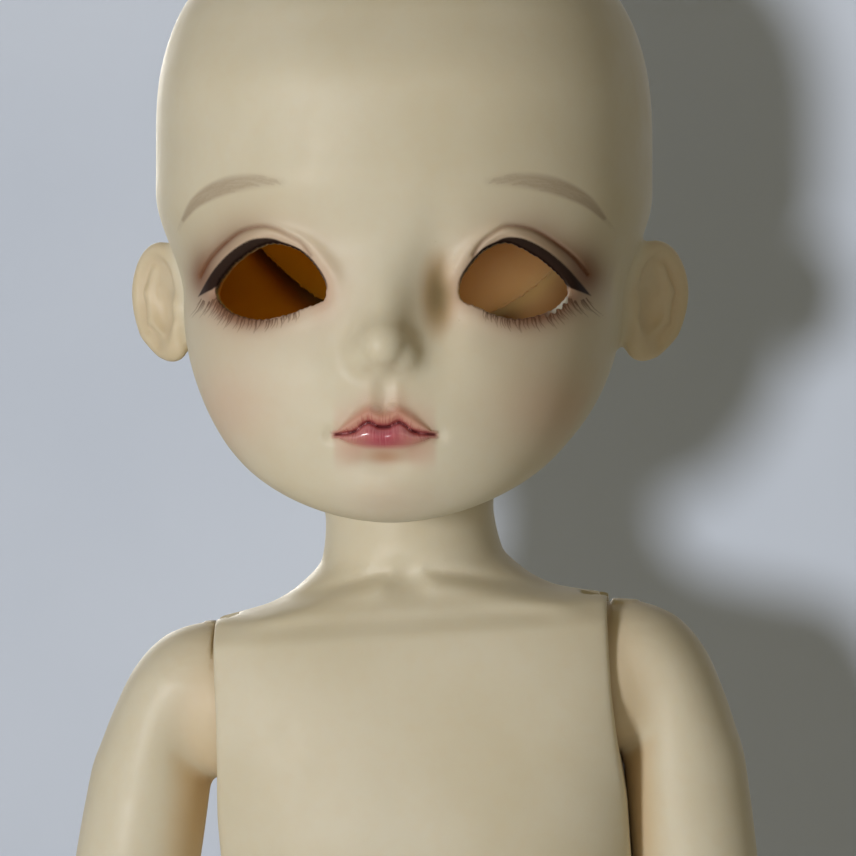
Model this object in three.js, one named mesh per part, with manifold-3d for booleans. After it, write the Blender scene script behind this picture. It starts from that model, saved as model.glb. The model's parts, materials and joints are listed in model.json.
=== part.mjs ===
// A ball-jointed resin doll, standing, in millimetres with +Z up and the doll facing -Y.
// Hollow cast pieces meet at balls and sockets, and elastic cord with wire hooks strings them together.
// The origin is on the floor between the feet, and the doll's own left side is +X.
import * as THREE from "three";
import { mergeVertices } from "three/addons/utils/BufferGeometryUtils.js";
import Module from "manifold-3d";

const wasm = await Module();
wasm.setup();

// Joint centres, each above the one before it, from the floor up
const ANKLE_HEIGHT = 15;
const SHIN_LENGTH = 51;
const THIGH_LENGTH = 56;
const HIP_TO_WAIST = 28;
const WAIST_TO_SHOULDER = 44;
const SHOULDER_TO_NECK = 23.5;
const CHIN_BELOW_NECK = 5.5;

// Joint centres beside and behind the middle of the body
const HIP_SPREAD = 13.4;
const SHOULDER_SPREAD = 19.6;
const SPINE_SETBACK = 3.2;

// Radii of the balls
const NECK_BALL = 9.6;
const SHOULDER_BALL = 8;
const ELBOW_BALL = 4.7;
const WRIST_BALL = 3.1;
const WAIST_BALL = 21;
const HIP_BALL = 10.8;
const KNEE_BALL = 6.6;
const ANKLE_BALL = 4.2;

// Clearances at a ball, at a seat, round a cord and, in degrees, between swept faces
const JOINT_GAP = 0.35;
const SEAT_GAP = 0.3;
const CORD_PLAY = 0.6;
const SWEEP_GAP = 4;

// Turns, in degrees, that the sockets and slots leave room for
const ELBOW_BEND = 90;
const KNEE_BEND = 90;
const HIP_FORWARD = 75;
const HIP_BACK = 20;
const ARM_RAISE = 30;
const HEAD_NOD = 15;
const HEAD_TILT = 10;
const WAIST_BEND = 15;

// Head
const HEAD_WIDTH = 52;
const JAW_WIDTH = 45.8;
const HEAD_HEIGHT = 63;
const FACE_DEPTH = 27.4;
const SKULL_DEPTH = 30.6;
const HEAD_WALL = 2.6;
const HEAD_LEAN = 3.7;
const EYE_SPREAD = 12;
const EYE_LEVEL = 23.7;
const EYE_HALF_WIDTH = 5.5;
const EYE_ABOVE = 4.1;
const EYE_BELOW = 3.4;
const NOSE_LEVEL = 17.2;
const NOSE_REACH = 3.4;
const NOSE_HALF_WIDTH = 2.7;
const NOSE_BRIDGE = 6.5;
const MOUTH_LEVEL = 8.7;
const MOUTH_HALF_WIDTH = 5.1;
const LIP_HEIGHT = 2.2;
const LIP_REACH = 2.1;
const EAR_LEVEL = 22.9;
const EAR_HEIGHT = 12.4;
const EAR_DEPTH = 8.4;
const EAR_REACH = 4.2;
const EAR_FLARE = 18;
const CAP_TOP_SETBACK = 4;
const CAP_LOW_LEVEL = 17;
const CAP_GAP = 0.3;
const MAGNET_DIAMETER = 5;
const MAGNET_THICKNESS = 2;
const MAGNET_RIM = 1.3;
const MAGNET_SPREAD = 18.2;

// Torso
const SHOULDER_HALF_WIDTH = 20.4;
const RIB_HALF_WIDTH = 21.2;
const CHEST_FRONT = 14;
const CHEST_BACK = 12.8;
const SHOULDER_RISE = 8.4;
const NECK_HALF_WIDTH = 8.9;
const NECK_BASE_DROP = 11.5;
const WAIST_HALF_WIDTH = 19.8;
const BELLY_FRONT = 12.8;
const BELLY_BACK = 11.6;
const HIP_HALF_WIDTH = 22.6;
const SEAT_BACK = 14.4;
const SEAT_DROP = 5;
const TORSO_WALL = 3.2;

// Arms
const UPPER_ARM_LENGTH = 39;
const FOREARM_LENGTH = 33.2;
const ARM_OFFSET = 7.3;
const ARM_HALF_WIDTH = 6.5;
const ARM_HALF_DEPTH = 6.9;
const ELBOW_HALF_WIDTH = 5.9;
const FOREARM_HALF_WIDTH = 5.9;
const WRIST_HALF_WIDTH = 4;
const PALM_LENGTH = 10.5;
const PALM_HALF_WIDTH = 4.1;
const PALM_HALF_THICKNESS = 2.5;
const FINGER_LENGTH = 8.4;
const FINGER_RADIUS = 0.95;
const FINGER_GAP = 0.15;
const THUMB_LENGTH = 6.6;
const THUMB_RADIUS = 1.1;
const LEFT_ARM_SPLAY = 2.5;
const LEFT_FOREARM_TURN = 10.5;
const RIGHT_ARM_SPLAY = 13;
const RIGHT_FOREARM_TURN = -8;

// Legs
const THIGH_RADIUS = 10.9;
const THIGH_CONE = 55;
const KNEE_RADIUS = 8.1;
const CALF_RADIUS = 7.9;
const CALF_BACK = 8.7;
const ANKLE_RADIUS = 5.4;
const FOOT_FRONT = 27;
const FOOT_HEEL = 10;
const FOOT_HALF_WIDTH = 7.2;

// Elbow and knee rims, in degrees from straight up, on the side that bends shut and on the other
const RIM_BENDING = 40;
const RIM_BACKING = 125;

// Stringing
const CORD_DIAMETER = 2.6;
const NECK_WIRE = 1.4;
const NECK_LOOP = 1.7;
const WRIST_WIRE = 0.9;
const WRIST_LOOP = 1.3;
const ANKLE_WIRE = 1.2;
const ANKLE_LOOP = 1.7;
const HOOK_SPAN = 6;

// Facets, and the ball radii above which a ball gets one more step of them
const FINE_BALLS = [2, 9, 20];
const LIMB_SIDES = 12;
const TORSO_SIDES = 18;
const HEAD_SIDES = 26;
const HEAD_LEVELS = 16;
const ROD_SIDES = 10;
const CORD_SIDES = 8;
const FINGER_SIDES = 6;
const HOOK_STEPS = 16;

const FULL_TURN = 360;
const AMPLE = 120;
const HIP_Z = ANKLE_HEIGHT + SHIN_LENGTH + THIGH_LENGTH;
const WAIST_Z = HIP_Z + HIP_TO_WAIST;
const SHOULDER_Z = WAIST_Z + WAIST_TO_SHOULDER;
const NECK_Z = SHOULDER_Z + SHOULDER_TO_NECK;
const CORD_RADIUS = CORD_DIAMETER / 2;
const BORE_RADIUS = CORD_RADIUS + CORD_PLAY;

const radians = THREE.MathUtils.degToRad;
const average = (a, b) => (a + b) / 2;
const point = (x, y, z) => new THREE.Vector3(x, y, z);
const ORIGIN = point(0, 0, 0);

const finish = (color, roughness, metalness) =>
  new THREE.MeshStandardMaterial({ color, roughness, metalness });
const resin = () => finish(0xdcd2b4, 0.5, 0);
const elastic = () => finish(0xe9e6dd, 0.8, 0);
const steel = () => finish(0xa9abad, 0.3, 1);
const nickel = () => finish(0x8b8d91, 0.25, 1);

// Solids from geometry, and geometry from solids
function solid(geometry) {
  const bare = geometry.clone();
  bare.deleteAttribute("normal");
  bare.deleteAttribute("uv");
  const merged = mergeVertices(bare, 1e-4);
  const vertProperties = new Float32Array(merged.attributes.position.array);
  const triVerts = new Uint32Array(merged.index.array);
  return new wasm.Manifold(new wasm.Mesh({ numProp: 3, vertProperties, triVerts }));
}

function geometryOf(shape) {
  const { vertProperties, triVerts } = shape.getMesh();
  const geometry = new THREE.BufferGeometry();
  geometry.setAttribute("position", new THREE.BufferAttribute(vertProperties.slice(), 3));
  geometry.setIndex(new THREE.BufferAttribute(triVerts.slice(), 1));
  geometry.computeVertexNormals();
  return geometry;
}

const cut = (body, ...tools) => tools.reduce((left, tool) => left.subtract(tool), body);
const join = (body, ...others) => others.reduce((all, other) => all.add(other), body);

function mesh(name, geometry, material) {
  const made = new THREE.Mesh(geometry, material);
  made.name = name;
  return made;
}

// A group at a joint's centre, named after the joint, and turned about the line from front to back
function jointAt(name, place, turn = 0) {
  const group = new THREE.Group();
  group.name = name;
  group.position.copy(place);
  group.rotation.y = radians(turn);
  return group;
}

// A closed skin through rings of points, the lowest ring first, each counter-clockwise from above
function skin(rings) {
  const sides = rings[0].length;
  const last = rings.length - 1;
  const points = rings.flat();
  const middle = (ring) => ring.reduce((sum, p) => sum.add(p), point(0, 0, 0)).divideScalar(sides);
  const bottom = points.push(middle(rings[0])) - 1;
  const top = points.push(middle(rings[last])) - 1;
  const index = [];
  for (let j = 0; j < sides; j++) {
    const next = (j + 1) % sides;
    for (let i = 0; i < last; i++) {
      const [a, b] = [i * sides + j, i * sides + next];
      index.push(a, b, b + sides, a, b + sides, a + sides);
    }
    index.push(bottom, next, j, top, last * sides + j, last * sides + next);
  }
  const geometry = new THREE.BufferGeometry().setFromPoints(points);
  geometry.setIndex(index);
  return geometry;
}

// One flat ring: power 2 is an ellipse, and higher powers are squarer
function ring({ z, width, front, back = front, power = 2, x = 0, y = 0 }, sides) {
  const bend = (value) => Math.sign(value) * Math.abs(value) ** (2 / power);
  return Array.from({ length: sides }, (_, i) => {
    const angle = (2 * Math.PI * (i + 0.5)) / sides;
    const [across, along] = [bend(Math.cos(angle)), bend(Math.sin(angle))];
    return point(x + width * across, y + (along < 0 ? front : back) * along, z);
  });
}

// A solid from its rings, given as rows of height, half width, depth in front, depth behind and power
function limb(rows, { sides = LIMB_SIDES, shift = () => ({}) } = {}) {
  const rings = rows.map(([z, width, front, back = front, power = 2]) =>
    ring({ z, width, front, back, power, ...shift(z) }, sides),
  );
  return solid(skin(rings));
}

// A ball of even facets
function ball(radius, { x, y, z } = ORIGIN) {
  const fineness = 1 + FINE_BALLS.filter((size) => radius > size).length;
  return solid(new THREE.IcosahedronGeometry(radius, fineness).translate(x, y, z));
}

function rod(radius, from, to, sides = ROD_SIDES) {
  const axis = to.clone().sub(from);
  const turn = new THREE.Quaternion().setFromUnitVectors(point(0, 1, 0), axis.clone().normalize());
  const middle = from.clone().lerp(to, 0.5);
  return new THREE.CylinderGeometry(radius, radius, axis.length(), sides)
    .applyQuaternion(turn)
    .translate(middle.x, middle.y, middle.z);
}

const bore = (radius, from, to) => solid(rod(radius, from, to));
const cord = (from, to) => rod(CORD_RADIUS, from, to, CORD_SIDES);

// A sector about the X axis between two angles, in degrees from straight up towards the back
function sector(from, to, reach, halfWidth) {
  const shape = new THREE.Shape();
  shape.moveTo(0, 0);
  const steps = Math.ceil(Math.abs(to - from) / 30);
  for (let i = 0; i <= steps; i++) {
    const angle = radians(from + ((to - from) * i) / steps);
    shape.lineTo(reach * Math.sin(angle), reach * Math.cos(angle));
  }
  const upright = new THREE.Matrix4().makeBasis(point(0, 1, 0), point(0, 0, 1), point(1, 0, 0));
  const depth = 2 * halfWidth;
  return solid(
    new THREE.ExtrudeGeometry(shape, { depth, bevelEnabled: false })
      .translate(0, 0, -halfWidth)
      .applyMatrix4(upright),
  );
}

// A round cord or wire through points
function tube(points, radius, sides, steps) {
  const section = new THREE.Shape();
  for (let i = 0; i < sides; i++) {
    const angle = (2 * Math.PI * i) / sides;
    const draw = i === 0 ? "moveTo" : "lineTo";
    section[draw](radius * Math.cos(angle), radius * Math.sin(angle));
  }
  const extrudePath = new THREE.CatmullRomCurve3(points);
  return new THREE.ExtrudeGeometry(section, { extrudePath, steps, bevelEnabled: false });
}

// An S of wire in the XZ plane: its lower loop is round the origin, and its upper loop is span above
function sHook(wire, loop, span) {
  const step = 30;
  const round = (angle, height) =>
    point(loop * Math.cos(radians(angle)), 0, height + loop * Math.sin(radians(angle)));
  const points = [];
  for (let angle = 150; angle <= 420; angle += step) points.push(round(angle, 0));
  for (let angle = 240; angle >= -30; angle -= step) points.push(round(angle, span));
  return tube(points, wire / 2, 5, HOOK_STEPS);
}

// The way a cord needs in a ball that turns under it from one angle to another
function cordWay(from, to, radius) {
  const reach = 2 * radius;
  const lane = (angle) => {
    const end = point(0, reach * Math.sin(radians(angle)), reach * Math.cos(radians(angle)));
    return solid(rod(BORE_RADIUS, ORIGIN, end, CORD_SIDES));
  };
  return join(sector(from, to, reach, BORE_RADIUS), lane(from), lane(to), ball(BORE_RADIUS));
}

// What an elbow leaves open: round the socket's rim, and round the ball on the limb that swings
const socketRelief = (reach) => sector(RIM_BACKING, FULL_TURN - RIM_BENDING, reach, reach);
const ballRelief = (bend, reach) => {
  const backing = FULL_TURN + RIM_BACKING + SWEEP_GAP;
  const bending = FULL_TURN - RIM_BENDING - SWEEP_GAP - bend;
  return sector(bending, backing, reach, reach);
};

// A knee is an elbow turned about
const turnedAbout = (shape) => shape.rotate([0, 0, 180]);

// A pin along the joint's axis, and the slot that the hook's loop turns in round it
function hookSeat(wire, loop, ballRadius, axis) {
  const radius = loop - wire / 2 - SEAT_GAP;
  const reach = 0.78 * ballRadius;
  const along = (size, half) => {
    const end = axis.clone().multiplyScalar(half);
    return rod(size, end.clone().negate(), end);
  };
  const depth = loop + wire / 2 + SEAT_GAP;
  const [thin, wide] = [wire + 2 * SEAT_GAP, 4 * ballRadius];
  const slot = new THREE.BoxGeometry(axis.x ? thin : wide, axis.y ? thin : wide, depth + 2 * ballRadius);
  return {
    pin: along(radius, reach),
    cuts: [
      solid(slot.translate(0, 0, ballRadius - depth / 2)),
      solid(along(radius + SEAT_GAP, reach + SEAT_GAP)),
    ],
  };
}

// The head's outline from in front, as half widths by height above the chin
const JAW_LEVEL = 0.36 * HEAD_HEIGHT;
const TEMPLE_LEVEL = 0.54 * HEAD_HEIGHT;
const CROWN_LEVEL = 0.62 * HEAD_HEIGHT;
function headHalfWidth(height) {
  const curve = (share, power) => (1 - Math.min(1, share) ** power) ** (1 / power);
  const [jaw, temple] = [JAW_WIDTH / 2, HEAD_WIDTH / 2];
  if (height <= JAW_LEVEL) return jaw * curve((JAW_LEVEL - height) / JAW_LEVEL, 2);
  const crown = HEAD_HEIGHT - CROWN_LEVEL;
  if (height >= CROWN_LEVEL) return temple * curve((height - CROWN_LEVEL) / crown, 2.6);
  return THREE.MathUtils.lerp(jaw, temple, THREE.MathUtils.smoothstep(height, JAW_LEVEL, TEMPLE_LEVEL));
}

// The head's outline from the side, as shares of its height and of the face's or the skull's depth
const spline = (points) => new THREE.SplineCurve(points.map(([x, y]) => new THREE.Vector2(x, y)));
const FACE_LINE = spline([
  [0, 0.66], [0.025, 0.82], [0.065, 0.89], [0.14, 0.93], [0.27, 0.95], [0.42, 0.945],
  [0.56, 1], [0.68, 1], [0.8, 0.9], [0.89, 0.73], [0.96, 0.46], [1, 0.12],
]);
const SKULL_LINE = spline([
  [0, -0.56], [0.025, -0.38], [0.065, -0.12], [0.11, 0.2], [0.16, 0.45], [0.24, 0.66], [0.35, 0.84],
  [0.5, 0.97], [0.62, 1], [0.75, 0.94], [0.87, 0.74], [0.95, 0.45], [1, 0.1],
]);

// A line's depth at a share of the height
function depthAt(line, height) {
  let [low, high] = [0, 1];
  for (let i = 0; i < 40; i++) {
    const middle = average(low, high);
    if (line.getPoint(middle).x < height) low = middle;
    else high = middle;
  }
  return line.getPoint(low).y;
}

// The head as a solid egg with its chin at height 0, drawn in all round by a wall
function headEgg(wall, sides, levels) {
  const rings = [];
  for (let i = 0; i <= levels; i++) {
    const share = (1 - Math.cos((Math.PI * (i + 0.35)) / (levels + 0.7))) / 2;
    const face = depthAt(FACE_LINE, share) * FACE_DEPTH;
    const skull = depthAt(SKULL_LINE, share) * SKULL_DEPTH;
    const z = share * HEAD_HEIGHT;
    const y = average(skull, -face);
    rings.push(ring({ z, y, width: headHalfWidth(z), front: average(skull, face), power: 2.25 }, sides));
  }
  const middle = average(SKULL_DEPTH, -FACE_DEPTH);
  const drawnIn = (size) => 1 - (2 * wall) / size;
  return solid(
    skin(rings)
      .translate(0, -middle, -HEAD_HEIGHT / 2)
      .scale(drawnIn(HEAD_WIDTH), drawnIn(FACE_DEPTH + SKULL_DEPTH), drawnIn(HEAD_HEIGHT))
      .translate(0, middle, HEAD_HEIGHT / 2),
  );
}

function egg(halfWidth, halfDepth, halfHeight) {
  return new THREE.SphereGeometry(1, 10, 6).rotateX(Math.PI / 2).scale(halfWidth, halfDepth, halfHeight);
}

// Nose, lips and ears, which stand out of the egg
function headFeatures() {
  const nose = egg(NOSE_HALF_WIDTH, NOSE_REACH, 3.2).translate(0, -0.955 * FACE_DEPTH, NOSE_LEVEL);
  const bridge = egg(0.7 * NOSE_HALF_WIDTH, 0.6 * NOSE_REACH, NOSE_BRIDGE);
  const lips = egg(MOUTH_HALF_WIDTH, LIP_REACH, LIP_HEIGHT).translate(0, -0.92 * FACE_DEPTH, MOUTH_LEVEL);
  const ears = [-1, 1].map((side) => {
    const ear = egg(1.6 * EAR_REACH, EAR_DEPTH / 2, EAR_HEIGHT / 2);
    ear.rotateZ(radians(-EAR_FLARE * side)).rotateX(radians(-10));
    return ear.translate(side * (headHalfWidth(EAR_LEVEL) - 0.1 * EAR_REACH), SPINE_SETBACK, EAR_LEVEL);
  });
  bridge.translate(0, -0.945 * FACE_DEPTH, NOSE_LEVEL + 5);
  return [nose, bridge, lips, ...ears].map(solid);
}

// An almond eye opening, cut straight back through the face
function eyeCut(side) {
  const lids = spline(
    [
      [-1, -0.1], [-0.75, 0.55], [-0.25, 0.95], [0.2, 0.98], [0.65, 0.6], [0.95, 0],
      [0.9, -0.5], [0.5, -0.82], [0, -1], [-0.5, -0.85], [-0.9, -0.45], [-1, -0.1],
    ].map(([across, up]) => [-side * across * EYE_HALF_WIDTH, up * (up > 0 ? EYE_ABOVE : EYE_BELOW)]),
  );
  const outline = new THREE.Shape(lids.getPoints(20).slice(0, -1));
  return solid(
    new THREE.ExtrudeGeometry(outline, { depth: FACE_DEPTH, bevelEnabled: false })
      .rotateX(Math.PI / 2)
      .translate(side * EYE_SPREAD, -0.3 * FACE_DEPTH, EYE_LEVEL),
  );
}

// Head: a hollow shell with eye openings, and a cap that three pairs of magnets hold on its back
function buildHead() {
  const head = jointAt("head", point(0, SPINE_SETBACK, NECK_Z), HEAD_LEAN);
  const toNeck = (shape) => shape.translate([0, -SPINE_SETBACK, -CHIN_BELOW_NECK]);
  const bossRadius = NECK_BALL + JOINT_GAP + HEAD_WALL;
  const outer = toNeck(join(headEgg(0, HEAD_SIDES, HEAD_LEVELS), ...headFeatures()));
  const hollow = cut(toNeck(headEgg(HEAD_WALL, 16, 10)), ball(bossRadius));
  const walls = cut(outer, hollow);

  // The parting plane runs from behind the crown down to the nape
  const crown = point(0, CAP_TOP_SETBACK - SPINE_SETBACK, HEAD_HEIGHT - CHIN_BELOW_NECK);
  const nape = point(0, 0.8 * SKULL_DEPTH - SPINE_SETBACK, CAP_LOW_LEVEL - CHIN_BELOW_NECK);
  const upward = crown.clone().sub(nape).normalize();
  const outward = point(0, upward.z, -upward.y);
  const facing = new THREE.Quaternion().setFromUnitVectors(point(0, 0, 1), outward);
  const behind = (gap) => {
    const block = new THREE.BoxGeometry(AMPLE, AMPLE, AMPLE).translate(0, 0, AMPLE / 2 + gap);
    return solid(block.applyQuaternion(facing).translate(nape.x, nape.y, nape.z));
  };

  // Each magnet lies in a boss inside the rim, flush with the parting plane
  const bossSize = MAGNET_DIAMETER / 2 + MAGNET_RIM;
  const sideSeat = (side) => nape.clone().lerp(crown, 0.42).setX(side * MAGNET_SPREAD);
  const seats = {
    top: crown.clone().addScaledVector(upward, -HEAD_WALL / 2 - bossSize),
    left: sideSeat(1),
    right: sideSeat(-1),
  };
  const disc = (seat, from, to, radius) =>
    rod(radius, seat.clone().addScaledVector(outward, from), seat.clone().addScaledVector(outward, to));
  const atSeats = (from, to, radius) => {
    const [first, ...rest] = Object.values(seats).map((seat) => solid(disc(seat, from, to, radius)));
    return join(first, ...rest);
  };
  const pocketRadius = MAGNET_DIAMETER / 2 + SEAT_GAP;
  const pocketDepth = MAGNET_THICKNESS + SEAT_GAP;
  const bossDepth = pocketDepth + MAGNET_RIM;
  const shellBosses = atSeats(-bossDepth, 0, bossSize).intersect(outer);
  const capBosses = atSeats(CAP_GAP, CAP_GAP + bossDepth, bossSize).intersect(outer);

  // The neck's hook comes up through a slot that lets the head nod round it
  const slotAcross = NECK_LOOP + NECK_WIRE + 2 * SEAT_GAP;
  const slotAlong = 2 * bossRadius * Math.sin(radians(HEAD_NOD)) + NECK_WIRE + 2 * SEAT_GAP;
  const slotHeight = 2 * bossRadius;
  const slot = new THREE.BoxGeometry(slotAcross, slotAlong, slotHeight).translate(0, 0, slotHeight / 2);
  const shell = cut(
    join(walls, shellBosses),
    behind(0),
    ball(NECK_BALL + JOINT_GAP),
    solid(slot),
    atSeats(-pocketDepth, CAP_GAP, pocketRadius),
    ...[-1, 1].map((side) => toNeck(eyeCut(side))),
  );
  const cap = cut(
    join(walls, capBosses).intersect(behind(CAP_GAP)),
    atSeats(0, CAP_GAP + pocketDepth, pocketRadius),
  );
  head.add(mesh("head_shell", geometryOf(shell), resin()));
  head.add(mesh("head_cap", geometryOf(cap), resin()));
  for (const [place, seat] of Object.entries(seats)) {
    const magnet = (from) => disc(seat, from, from + MAGNET_THICKNESS, MAGNET_DIAMETER / 2);
    head.add(mesh(`head_magnet_${place}`, magnet(-MAGNET_THICKNESS), nickel()));
    head.add(mesh(`cap_magnet_${place}`, magnet(CAP_GAP), nickel()));
  }
  const hookSpan = bossRadius + SEAT_GAP + NECK_LOOP;
  head.add(mesh("neck_s_hook", sHook(NECK_WIRE, NECK_LOOP, hookSpan), steel()));
  return head;
}

// Chest and neck in one casting, with flat sides for the arms and a ball for the head
function buildChest() {
  const chest = jointAt("waist", point(0, SPINE_SETBACK, WAIST_Z));
  const shoulder = WAIST_TO_SHOULDER;
  const corner = shoulder + SHOULDER_RISE;
  const neckTop = shoulder + SHOULDER_TO_NECK;
  const neckBase = neckTop - NECK_BASE_DROP;
  const slope = average(corner, neckBase);
  const forward = -SPINE_SETBACK;
  const settle = (z) => ({ y: forward * (1 - THREE.MathUtils.smoothstep(z, corner, neckBase + 2)) });
  const outer = limb(
    [
      [2, WAIST_HALF_WIDTH, BELLY_FRONT, BELLY_BACK, 2.4],
      [0.28 * shoulder, WAIST_HALF_WIDTH + 0.3, BELLY_FRONT, BELLY_BACK, 2.4],
      [0.48 * shoulder, RIB_HALF_WIDTH, 0.97 * CHEST_FRONT, 0.97 * CHEST_BACK, 2.5],
      [0.7 * shoulder, RIB_HALF_WIDTH, CHEST_FRONT, CHEST_BACK, 2.6],
      [0.86 * shoulder, SHOULDER_HALF_WIDTH + 0.25, 0.98 * CHEST_FRONT, CHEST_BACK, 3],
      [shoulder, SHOULDER_HALF_WIDTH, 0.92 * CHEST_FRONT, 0.97 * CHEST_BACK, 3.4],
      [corner - 2.6, SHOULDER_HALF_WIDTH, 0.8 * CHEST_FRONT, 0.9 * CHEST_BACK, 3.4],
      [corner - 0.6, SHOULDER_HALF_WIDTH - 0.2, 0.68 * CHEST_FRONT, 0.8 * CHEST_BACK, 3],
      [corner, SHOULDER_HALF_WIDTH - 1.4, 0.64 * CHEST_FRONT, 0.76 * CHEST_BACK, 2.8],
      [slope, 0.72 * SHOULDER_HALF_WIDTH, 8.6, 8.6, 2.3],
      [neckBase, 0.57 * SHOULDER_HALF_WIDTH, 8.8, 8.8, 2.1],
      [neckBase + 2.4, NECK_HALF_WIDTH + 0.6, NECK_HALF_WIDTH + 0.4],
      [neckTop - 5.5, NECK_HALF_WIDTH, NECK_HALF_WIDTH],
      [neckTop - 3.2, NECK_HALF_WIDTH - 0.1, NECK_HALF_WIDTH - 0.1],
    ],
    { sides: TORSO_SIDES, shift: settle },
  );
  const [chestRoom, backRoom] = [CHEST_FRONT - TORSO_WALL, CHEST_BACK - TORSO_WALL];
  const room = limb(
    [
      [-4, WAIST_HALF_WIDTH - TORSO_WALL, BELLY_FRONT - TORSO_WALL, BELLY_BACK - TORSO_WALL],
      [0.75 * shoulder, RIB_HALF_WIDTH - TORSO_WALL - 0.75 * SHOULDER_BALL, chestRoom, backRoom],
      [shoulder, SHOULDER_SPREAD - SHOULDER_BALL - TORSO_WALL, 0.85 * chestRoom, 0.85 * backRoom],
      [shoulder + 4, 5, 5],
    ],
    { shift: () => ({ y: forward }) },
  );
  const [left, right] = [1, -1].map((side) => point(side * SHOULDER_SPREAD, forward, shoulder));
  const hookSway = NECK_BALL * Math.sin(radians(HEAD_TILT)) + NECK_WIRE / 2;
  const neckBore = Math.max(hookSway, NECK_LOOP + NECK_WIRE / 2) + 2 * CORD_PLAY;
  const shape = cut(
    join(outer, ball(NECK_BALL, point(0, 0, neckTop))),
    room,
    bore(neckBore, point(0, 0, shoulder), point(0, 0, neckTop + 2 * NECK_BALL)),
    bore(BORE_RADIUS + CORD_PLAY, left, right),
    ball(SHOULDER_BALL + JOINT_GAP, left),
    ball(SHOULDER_BALL + JOINT_GAP, right),
    ball(WAIST_BALL + JOINT_GAP),
  );
  chest.add(mesh("chest", geometryOf(shape), resin()));

  // One cord runs from arm to arm, and one from the head's hook down to the waist
  const reach = SHOULDER_SPREAD - SHOULDER_BALL + 3;
  const armCord = cord(point(-reach, forward, shoulder), point(reach, forward, shoulder));
  const cordTop = neckTop - NECK_LOOP - NECK_WIRE / 2 - SEAT_GAP;
  chest.add(mesh("arm_cord", armCord, elastic()));
  chest.add(mesh("neck_cord", cord(point(0, 0, 1), point(0, 0, cordTop)), elastic()));
  return chest;
}

// Pelvis: a dome that the chest rocks on, a socket on each side and an opening that the legs swing in
function buildPelvis() {
  const pelvis = jointAt("pelvis", point(0, 0, HIP_Z));
  const waist = HIP_TO_WAIST;
  const domeTop = waist + WAIST_BALL;
  const outer = limb(
    [
      [-SEAT_DROP, 7, 4.5, 5],
      [-0.5 * SEAT_DROP, 12, 6.6, 8.5],
      [0.1 * waist, 0.92 * HIP_HALF_WIDTH, 0.78 * BELLY_FRONT, 0.93 * SEAT_BACK, 2.2],
      [0.32 * waist, HIP_HALF_WIDTH, 0.99 * BELLY_FRONT, SEAT_BACK, 2.4],
      [0.64 * waist, 0.96 * HIP_HALF_WIDTH, BELLY_FRONT, average(SEAT_BACK, BELLY_BACK), 2.4],
      [waist, WAIST_HALF_WIDTH + 0.3, BELLY_FRONT, BELLY_BACK, 2.4],
      [average(waist, domeTop), WAIST_HALF_WIDTH, BELLY_FRONT, BELLY_BACK, 2.4],
      [domeTop, WAIST_HALF_WIDTH, BELLY_FRONT, BELLY_BACK, 2.4],
    ],
    { sides: TORSO_SIDES },
  );
  const above = new THREE.BoxGeometry(AMPLE, AMPLE, 2 * WAIST_BALL).translate(0, 0, domeTop);
  const crest = cut(solid(above), ball(WAIST_BALL, point(0, SPINE_SETBACK, waist)));
  const room = limb([
    [0.42 * waist, 0.5 * HIP_HALF_WIDTH, 5, 9],
    [0.8 * waist, WAIST_HALF_WIDTH - TORSO_WALL, BELLY_FRONT - TORSO_WALL - 2, BELLY_BACK - TORSO_WALL + 1],
    [waist + 0.25 * WAIST_BALL, 0.6 * WAIST_HALF_WIDTH, 6, 8],
  ]);
  const sway = WAIST_BALL * Math.sin(radians(WAIST_BEND)) + BORE_RADIUS + CORD_PLAY;
  const mouth = bore(sway, point(0, SPINE_SETBACK, waist - 2), point(0, SPINE_SETBACK, domeTop + WAIST_BALL));
  const legFront = FULL_TURN - (180 - THIGH_CONE - SWEEP_GAP - HIP_FORWARD);
  const legBack = 180 - THIGH_CONE - SWEEP_GAP - HIP_BACK;
  const tools = [crest, room, mouth, sector(legBack, legFront, AMPLE / 2, AMPLE / 2)];
  for (const [name, side] of [["left", 1], ["right", -1]]) {
    const hip = point(side * HIP_SPREAD, 0, 0);
    const top = hip.clone().setZ(HIP_BALL + 0.3 * waist);
    tools.push(ball(HIP_BALL + JOINT_GAP, hip), bore(BORE_RADIUS + CORD_PLAY, hip, top));
    const low = hip.clone().setZ(HIP_BALL + CORD_RADIUS + SEAT_GAP);
    const high = point(side * (CORD_RADIUS + SEAT_GAP), SPINE_SETBACK, waist - CORD_RADIUS);
    pelvis.add(mesh(`pelvis_cord_${name}`, cord(low, high), elastic()));
  }
  pelvis.add(mesh("pelvis", geometryOf(cut(outer, ...tools)), resin()));
  return pelvis;
}

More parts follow.
